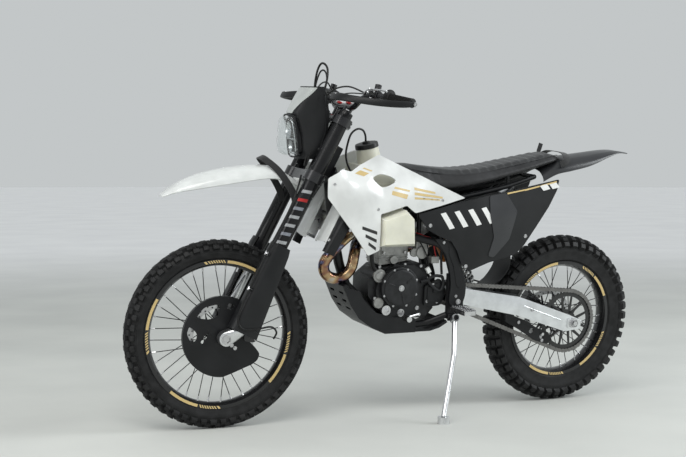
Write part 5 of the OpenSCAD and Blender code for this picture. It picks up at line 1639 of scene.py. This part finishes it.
    # Loom, relays and key barrel behind the mask
    w.box((92, -10, 1226), (24, 56, 30))
    w.box((86, 30, 1170), (20, 34, 40))
    w.tube(spline([[90., 20, 1226], [96, 40, 1190], [86, 44, 1130], [80, 20, 1080]], 6), 5, 12)
    w.tube(spline([[96., -20, 1214], [98, -36, 1170], [88, -30, 1100]], 6), 4.5, 12)
    w.tube([(50, 70, 1127), (34, 80, 1127)], 6, 14)
    w.tube([(50, -70, 1127), (34, -80, 1127)], 6, 14)
    piece("front_loom", w, FORK, "steering", "black_plastic", bevel=1.5, smooth=40)


controls()

# ------------------------------------------------------------------ tank, cooling, radiator louvres


def tank():
    refine("fuel_tank", "tank", bevel=7, smooth=45)
    s = Shape()
    turn = Matrix.Translation((889, 0, 962)) @ Matrix.Rotation(math.radians(14), 4, "Y")
    cap = Shape()
    # Fluted screw cap with its breather
    n = 48
    rings = []
    for z, base, flute in ((74.2, 44, 0), (75.5, 45, 0), (77, 45, 0.8), (87, 44.6, 0.8), (90.5, 43, 0.3),
                           (91.2, 40, 0)):
        rings.append([((base - flute * (j % 4 < 2)) * math.cos(2 * math.pi * j / n),
                       (base - flute * (j % 4 < 2)) * math.sin(2 * math.pi * j / n), z) for j in range(n)])
    cap.rings(rings)
    cap.lathe([(91, 15), (97, 14.5), (98.2, 12), (98.2, 0.01)], (0, 0, 0), (0, 0, 1), 32)
    s.moved(turn, cap)
    piece("tank_cap", s, BIKE, "chassis", "black_plastic", smooth=32, replaces=["fuel_cap"])
    h = Shape()
    h.tube(spline([[913.5, 0., 1058], [918, 2, 1082], [932, 6, 1100], [958, 13, 1104], [986, 20, 1086],
                   [1002, 27, 1050], [1010, 32, 1012], [1004, 36, 975], [990, 38, 950]], 8), 3.9, 12)
    piece("tank_vent_hose", h, BIKE, "chassis", "hose", smooth=60, replaces=["vent_hose"])
    fins = Shape()
    for side in (-1, 1):
        y0, y1 = side * 54, side * 148
        for k in range(56):
            z = 848 + k * 4
            fins.box((-131, (y0 + y1) / 2, z), (34, 90, 1.4))
        for z in (843, 1074):
            fins.box((-131, (y0 + y1) / 2, z), (38, 94, 10))
        for y in (side * 56, side * 146):
            fins.box((-131, y, 958), (38, 4, 240))
        for k in range(5):
            fins.box((-131, side * (70 + k * 16), 958), (24, 3, 226))
    piece("radiator_cores", fins, RADIATOR, "chassis", "silver", bevel=0.0, smooth=30,
          replaces=["radiators"])
    w, b, k = Shape(), Shape(), Shape()
    for side in (-1, 1):
        # Folded white louvre, narrow at the top and cut at a slant at the foot
        rings = []
        for z in np.linspace(826, 1080, 14):
            t = (z - 826) / 254
            out = 132 - 34 * max(0, t - 0.55) / 0.45
            foot = 6 * math.exp(-t * 6)
            line = [(-110, 52), (-101 + foot * 0.3, 57), (-97.6, 60 + (out - 60) * 0.45),
                    (-99.5, 60 + (out - 60) * 0.62),
                    (-104, out - 3), (-108, out)]
            loop = line + [(x - 2.2, y - 0.5) for x, y in line[::-1]]
            rings.append([(x, side * y, z + (y - 50) * (0.12 if t < 0.02 else 0)) for x, y in loop])
        w.rings(rings)
        # Black inner panel between the louvre and the shroud's front edge
        rings = []
        for z in np.linspace(800, 1086, 14):
            t = (z - 800) / 286
            out = 150 + 12 * math.sin(math.pi * min(1, t * 1.1))
            line = [(-112, 126 - 20 * max(0, t - 0.6)), (-109, 132), (-112, out - 6), (-118, out),
                    (-150, out + 1)]
            loop = line + [(x - 2.4, y - 1.2) for x, y in line[::-1]]
            rings.append([(x, side * y, z) for x, y in loop])
        b.rings(rings)
        for z in (846, 1040):
            k.bolt([-111, side * 141, z], (1, side * 0.2, 0), 4.6, 4)
    piece("radiator_louvres", w, RADIATOR, "chassis", "clear_white", smooth=30,
          replaces=["radiator_guards"])
    piece("radiator_side_plates", b, RADIATOR, "chassis", "black_plastic", smooth=35)
    piece("radiator_bolts", k, RADIATOR, "chassis", "steel", smooth=35)


RADIATOR = BIKE @ Matrix.Translation((STEER_X, 0, 0)) @ Matrix.Rotation(math.radians(-RAKE), 4, "Y")
tank()

# ------------------------------------------------------------------ engine and exhaust


def engine():
    refine("engine_case", "engine_dark", bevel=3.5, smooth=40)
    s = Shape()
    # Ignition cover: dished disc with a rim, spokes, a slit and a centre bolt
    c = (785, 0, 510)
    s.lathe([(78, 79), (91, 80), (95, 78.5), (96.5, 75), (96.5, 71.5), (98, 70), (102, 69.5), (104, 66),
             (104.6, 60),
             (103.6, 40), (104.6, 22), (105.4, 20), (105.4, 14), (104, 12.5), (104, 0.01)], c, (0, 1, 0), 90)
    s.box((775, 104.2, 470), (6, 3.4, 46), Matrix.Rotation(math.radians(14), 4, "Y"))
    for k in range(3):
        a = math.radians(20 + 120 * k)
        s.tube([(785 + 30 * math.cos(a), 103.8, 510 + 30 * math.sin(a)),
                (785 + 58 * math.cos(a), 104.2, 510 + 58 * math.sin(a))], [2.4, 1.6], 8)
    # Clutch cover on the right
    s.lathe([(-92, 83), (-103, 84), (-106, 80), (-107, 66), (-112, 65), (-114, 61), (-114, 22), (-112.5, 19),
             (-112.5, 0.01)], (742, 0, 480), (0, 1, 0), 90)
    for k in range(10):
        a = math.radians(36 * k)
        s.tube([(742 + 86 * math.cos(a), -96, 480 + 86 * math.sin(a)),
                (742 + 86 * math.cos(a), -106, 480 + 86 * math.sin(a))], 7, 12)
    piece("engine_side_covers", s, BIKE, "chassis", "engine_dark", smooth=30)
    p = Shape()
    # Engine sprocket cover with its tie piece
    outline = rounded([(676, 436), (652, 430), (604, 434), (588, 470), (588, 512), (612, 540), (652, 520),
                       (676, 512)], 10)
    p.prism(outline, 80.5, 90)
    p.prism(rounded([(664, 446), (612, 446), (600, 474), (600, 506), (616, 524), (664, 506)], 8), 90, 93)
    loop = spline([[606., 98, 548], [640, 99, 552], [668, 99, 536], [640, 98, 504], [612, 98, 494],
                   [600, 98, 520],
                   [606, 98, 548]], 5)
    p.tube(loop, 6, 12)
    p.tube([(668, 99, 536), (700, 96, 530)], [6, 7], 12)
    p.tube([(612, 98, 494), (640, 92, 490)], [6, 7], 12)
    piece("sprocket_cover", p, BIKE, "chassis", "black_plastic", bevel=1, smooth=35,
          replaces=["engine_covers"])
    g = Shape()
    # Cylinder and head with fins, side plate, spark plug lead seat
    base = [(738, 606), (732, 700), (742, 774), (838, 790), (866, 742), (860, 590)]
    g.prism(rounded(base, 9), -50, 50)
    g.prism(rounded([(742, 628), (742, 690), (852, 690), (852, 628)], 8), -53.5, 53.5)
    g.prism(rounded([(746, 706), (750, 768), (836, 782), (856, 742), (850, 706)], 9), -55, 55)
    for k in range(3):
        g.prism(rounded([(736, 608 + k * 9), (736, 612 + k * 9), (862, 608 + k * 9), (862, 604 + k * 9)],
                        1.4), -54, 54)
    for side in (-1, 1):
        for x, z in ((752, 640), (842, 640), (752, 680), (842, 680), (760, 760), (842, 736)):
            g.tube([(x, side * 50, z), (x, side * 58, z)], 6.5, 14)
    g.tube([(800, 52, 612), (800, 62, 612)], 16, 24)
    piece("cylinder_castings", g, BIKE, "chassis", "engine_grey", bevel=1.2, smooth=35,
          replaces=["engine_cylinder"])
    b = Shape()
    for k in range(8):
        a = math.radians(22 + 45 * k)
        b.bolt([785 + 74 * math.cos(a), 95.6, 510 + 74 * math.sin(a)], (0, 1, 0), 3.4, 4)
    b.bolt([785, 104, 510], (0, 1, 0), 8.5, 5)
    for x, z in ((868, 590), (884, 548), (884, 470), (846, 412), (700, 408), (668, 452), (664, 540),
                 (690, 588), (760, 596)):
        b.bolt([x, 76, z], (0, 1, 0), 4.2, 5)
    for x, z in ((620, 448), (604, 500), (640, 516), (664, 452)):
        b.bolt([x, 90, z], (0, 1, 0), 4.2, 4)
    for k in range(10):
        a = math.radians(36 * k)
        b.bolt([742 + 86 * math.cos(a), -106, 480 + 86 * math.sin(a)], (0, -1, 0), 3.6, 4)
    for side in (-1, 1):
        for x, z in ((752, 640), (842, 640), (752, 680), (842, 680), (760, 760), (842, 736)):
            b.bolt([x, side * 58, z], (0, side, 0), 3.8, 4)
    # Oil filter cap, drain and level plugs
    b.tube([(838, 76, 424), (838, 90, 424)], 19, 30)
    b.tube([(838, 90, 424), (838, 92, 424)], [12, 9], 24)
    b.bolt([770, 78, 410], (0, 1, 0), 11, 8)
    b.bolt([700, 78, 426], (0, 1, 0), 6, 8)
    piece("engine_bolts", b, BIKE, "chassis", "steel", smooth=35)
    a = Shape()
    # Water pump, starter and oil housings, intake and electronics round the engine
    a.tube([(868, 72, 556), (868, 80, 556)], 25.5, 32)
    a.tube([(868, 80, 556), (868, 84, 556)], [18, 14], 32)
    a.tube([(868, 74, 452), (868, 84, 452)], [22, 20], 32)
    a.tube(spline([[720., 20, 730], [690, 24, 724], [664, 26, 726], [640, 22, 740]], 5),
           [27] * 10 + [24] * 6, 24)
    a.tube([(700, 20, 716), (700, 62, 716)], 15, 20)
    a.box((686, 58, 668), (56, 34, 40))
    a.tube([(690, 74, 640), (690, 82, 640)], 24, 28)
    a.box((636, 78, 612), (34, 26, 26))
    a.tube([(720, 64, 640), (720, 76, 640)], 17, 24)
    piece("engine_fittings", a, BIKE, "chassis", "engine_grey", bevel=2, smooth=35)
    d = Shape()
    d.tube(spline([[742., 66, 690], [720, 76, 700], [694, 84, 668], [672, 90, 622], [664, 92, 580]], 7), 2.6,
           10)
    d.tube(spline([[700., 66, 700], [676, 74, 690], [660, 76, 650], [640, 80, 620]], 7), 2.2, 10)
    d.tube(spline([[600., 60, 740], [606, 84, 690], [612, 92, 620], [606, 92, 556]], 7), 5, 12)
    d.tube(spline([[872., 60, 700], [900, 66, 660], [896, 70, 600], [880, 72, 574]], 7), 8, 14)
    d.tube(spline([[930., 40, 810], [900, 60, 780], [880, 60, 730], [870, 40, 700]], 7), 13, 16)
    piece("engine_hoses", d, BIKE, "chassis", "hose", smooth=60)
    r = Shape()
    for dy, dz in ((0, 0), (4, -5), (-3, -9)):
        r.tube(spline([[716., 70 + dy, 716 + dz], [686, 80 + dy, 706 + dz], [650, 84 + dy, 690 + dz],
                       [636, 84, 640], [626, 88, 600]], 7), 1.9, 8)
    piece("engine_wires_red", r, BIKE, "chassis", "red", smooth=60)
    n = Shape()
    n.box((668, 94, 574), (16, 12, 22), Matrix.Rotation(math.radians(30), 4, "Y"))
    n.tube([(660, 94, 560), (652, 96, 544)], [3.2, 3.2], 10)
    piece("white_connector", n, BIKE, "chassis", "white_plastic", bevel=1.2)
    t = Shape()
    t.box((752, 60, 704), (26, 6, 24))
    t.tube([(752, 62, 704), (752, 64.4, 704)], 8, 20)
    piece("blue_tag", t, BIKE, "chassis", "blue_tag", bevel=1.5)


engine()


def exhaust():
    route = spline([[874., -8, 712], [930, 10, 726], [985, 40, 708], [1035, 46, 669],
                    [1085, 46, 610], [1074, 42, 562], [1020, 40, 545], [974, 40, 578], [958, 36, 632],
                    [940, 10, 664], [905, -40, 668], [866, -80, 656], [790, -86, 646], [700, -80, 640],
                    [640, -68, 640], [570, -68, 662], [520, -72, 689]], 8)
    s = Shape()
    s.tube(route, 21, 36)
    # Flange at the head and welded joints
    d = unit(route[1] - route[0])
    s.tube([route[0] - d * 1, route[0] + d * 7], 30, 30)
    for i in (30, 58, 86, 110):
        t = unit(route[i + 1] - route[i])
        s.tube([route[i] - t * 2.5, route[i], route[i] + t * 2.5], [21.2, 22.2, 21.2], 36)
    piece("header_pipe", s, BIKE, "chassis", "header", smooth=50, replaces=["exhaust_pipe"])
    a, b = np.array([512.0, -72, 692]), np.array([190.0, -62, 850])
    v = b - a
    m, e, r = Shape(), Shape(), Shape()
    e.tube([a + v * t for t in (0, 0.02, 0.10, 0.13)], [24, 29, 38, 39.4], 40)
    m.tube([a + v * t for t in (0.12, 0.13, 0.94, 0.95)], [38.6, 39, 39, 38.6], 40)
    out = [(0.94, 39.4), (0.96, 39.4), (0.985, 30), (1.0, 29), (1.0, 21), (0.97, 20)]
    e.tube([a + v * t for t, _ in out], [q for _, q in out], 40)
    for t in (0.16, 0.9):
        for k in range(12):
            q = 2 * math.pi * k / 12
            side = unit(np.cross(v, (0, 0, 1)))
            up = np.cross(unit(v), side)
            at = a + v * t + 38.6 * (math.cos(q) * side + math.sin(q) * up)
            r.tube([at, at + 1.8 * (math.cos(q) * side + math.sin(q) * up)], [3, 1.8], 10)
    piece("silencer_can", m, BIKE, "chassis", "arm_alu", smooth=40, replaces=["silencer"])
    piece("silencer_ends", e, BIKE, "chassis", "black_plastic", smooth=40)
    piece("silencer_rivets", r, BIKE, "chassis", "steel", smooth=40)


exhaust()

# ------------------------------------------------------------------ frame, arm and rear fittings


def chassis_parts():
    g, b = Shape(), Shape()
    for side in (-1, 1):
        # Curved guard over the frame above the swingarm's pivot
        outline = rounded([(662, 700), (600, 694), (566, 660), (538, 590), (512, 520), (514, 470),
                           (530, 428), (566, 424),
                           (586, 452), (580, 520), (592, 590), (612, 640), (640, 672)], 14)
        g.prism([(x, z) for x, z in outline], side * 117, side * 123.5)
        inner = rounded([(600, 676), (572, 640), (548, 584), (530, 520), (534, 500), (556, 512), (574, 590),
                         (596, 636)], 8)
        g.prism([(x, z) for x, z in inner], side * 123, side * 125.5)
        for x, z in ((545, 452), (622, 684), (556, 474)):
            b.bolt([x, side * 123.5, z], (0, side, 0), 7.5 if x == 545 else 4.2, 5)
        # Frame bolts
        b.bolt([578, side * 106, 398], (0, side, 0), 5, 4)
        b.bolt([700, side * 72, 800], (0, side, 0), 4.4, 4)
    piece("frame_pivot_guards", g, BIKE, "chassis", "black_plastic", bevel=2.2, smooth=40)
    piece("frame_bolts", b, BIKE, "chassis", "steel", smooth=35)
    # Engine plate and inner mudguard that hides the wheel's front
    m = Shape()
    rows = spline([[352., 700, 62], [300, 660, 62], [276, 610, 60], [280, 560, 58], [316, 512, 54],
                   [356, 488, 46]], 5)
    rings = []
    for x, z, w in rows:
        d = unit([x - 0, 0, z - 341])
        rings.append([(x + d[0] * q, y, z + d[2] * q) for y, q in ((-w, 3), (w, 3), (w, 0), (-w, 0))])
    m.rings(rings)
    m.box((352, 0, 724), (60, 90, 60))
    piece("inner_mudguard", m, BIKE, "chassis", "black_plastic", bevel=1.5, smooth=40)
    # Shock: body, spring with its collars and gold reservoir
    s, sp, o = Shape(), Shape(), Shape()
    a, c = np.array([420.0, 0, 486]), np.array([538.5, 0, 698])
    v = c - a
    s.tube([a + v * t for t in (0, 0.06, 0.07, 0.12)], [15, 15, 24, 26], 24)
    s.tube([a + v * t for t in (0.02, 0.5)], [9, 9], 20)
    s.tube([a + v * t for t in (0.45, 0.9)], [20, 20], 28)
    s.tube([a + v * t for t in (0.86, 0.9, 1.0)], [27, 25, 20], 24)
    side, up = np.array([0, 1.0, 0]), unit(np.cross(v, (0, 1, 0)))
    coil = [a + v * (0.12 + 0.74 * i / 200) + 25 * (math.cos(i * 0.2827) * side + math.sin(i * 0.2827) * up)
            for i in range(201)]
    sp.tube(coil, 5.2, 10)
    o.tube([a + v * 0.62 + up * -44, a + v * 0.96 + up * -44], 20, 28)
    o.tube([a + v * 0.94 + up * -44, a + v * 0.94], 12, 20)
    piece("shock_body", s, BIKE, "chassis", "silver", smooth=40, replaces=["rear_shock"])
    piece("shock_spring", sp, BIKE, "chassis", "engine_grey", smooth=60)
    piece("shock_reservoir", o, BIKE, "chassis", "orange", bevel=1.5, smooth=40)


def swingarm_parts():
    refine("swingarm", "arm_alu", bevel=4, smooth=40)
    s, b, k = Shape(), Shape(), Shape()
    for side in (-1, 1):
        # Axle block, adjuster bolt and nut on each leg, with a pressed line along the arm
        s.prism(rounded([(-36, 356), (-36, 326), (26, 322), (26, 360)], 5), side * 119.6, side * 126.5)
        b.bolt([0, side * 126.5, 341], (0, side, 0), 15, 12)
        b.tube([(0, side * 126, 341), (0, side * 141, 341)], 9.5, 20)
        b.tube([(-36, side * 106, 341), (-52, side * 106, 341)], 4.2, 12)
        b.bolt([-38, side * 106, 341], (-1, 0, 0), 7.5, 7)
        b.bolt([196, side * 118, 402], (0, side, 0), 5, 4)
        s.tube([(236, side * 117.4, 420), (60, side * 121, 356)], 3.0, 10, flat=0.6)
    piece("axle_blocks", s, BIKE, "chassis", "silver", bevel=1.2, smooth=40)
    piece("rear_axle_nuts", b, BIKE, "chassis", "steel", smooth=35)
    # Chain slider over the arm's front, and the guide with its lugs
    k.prism(rounded([(560, 500), (430, 488), (256, 462), (256, 452), (430, 470), (500, 440), (420, 436),
                     (256, 390),
                     (258, 380), (424, 424), (524, 426), (574, 452)], 4), 78, 96)
    piece("chain_slider", k, BIKE, "chassis", "black_plastic", bevel=1.2, smooth=40)
    refine("chain_guide", "black_plastic", bevel=1.2)
    g = Shape()
    for q in (120, 236):
        z = 268 if q == 120 else 348
        g.bolt([q, 86.5, z], (0, 1, 0), 5, 5)
        g.tube([(q, 74, z + 26), (q, 92, z + 26)], 6, 14)
    piece("guide_bolts", g, BIKE, "chassis", "steel", smooth=35)
    refine("rear_caliper", "anodised", bevel=3)
    h = Shape()
    h.tube(spline([[70., -84, 430], [130, -108, 470], [260, -112, 470], [400, -100, 500], [520, -100, 480],
                   [566, -106, 440]],
                  7), 3.4, 10)
    piece("rear_brake_line", h, BIKE, "chassis", "hose", smooth=60)


def foot_parts():
    s = Shape()
    for side in (-1, 1):
        # Peg: open frame with teeth on its upper edges, and its hinge lug
        for x in (526, 574):
            s.box((x, side * 178, 426), (4, 96, 18))
            for k in range(12):
                y = side * (134 + k * 8)
                s.prism([(x - 2, 434), (x + 2, 434), (x + 1, 439.5), (x - 1, 439.5)], y - 2, y + 2)
        for y in (131, 156, 180, 204, 224):
            s.box((550, side * y, 425), (52, 4, 16))
            for k in range(5):
                x = 532 + k * 9
                s.prism([(x - 2, 432), (x + 2, 432), (x, 439)], side * y - 1.6, side * y + 1.6)
        s.box((551, side * 118, 425), (30, 26, 14))
        s.tube([(530, side * 116, 425), (572, side * 116, 425)], 8, 18)
    piece("foot_pegs", s, BIKE, "chassis", "steel", bevel=0.6, smooth=35,
          replaces=["footpegs"])
    refine("foot_levers", "steel", bevel=1.5)
    t = Shape()
    for k in range(7):
        y = 116 + k * 5.5
        t.tube([(770, y, 398), (770, y + 2.4, 398)], 12.2, 18)
    for k in range(5):
        t.box((756 + k * 3, -135, 396.5), (1.4, 30, 3))
    piece("lever_treads", t, BIKE, "chassis", "hose", bevel=0.3, smooth=35)


chassis_parts()
swingarm_parts()
foot_parts()
for node, bevel in (("head_tube", 2), ("main_frame", 0), ("subframe", 0), ("skid_plate", 1.5), ("airbox", 4),
                    ("side_stand", 1.0), ("stand_bracket", 1.0), ("triple_clamps", 2.2), ("fork_lowers", 2.5),
                    ("front_axle", 1.0), ("rear_axle", 1.0)):
    refine(node, None, bevel=bevel)
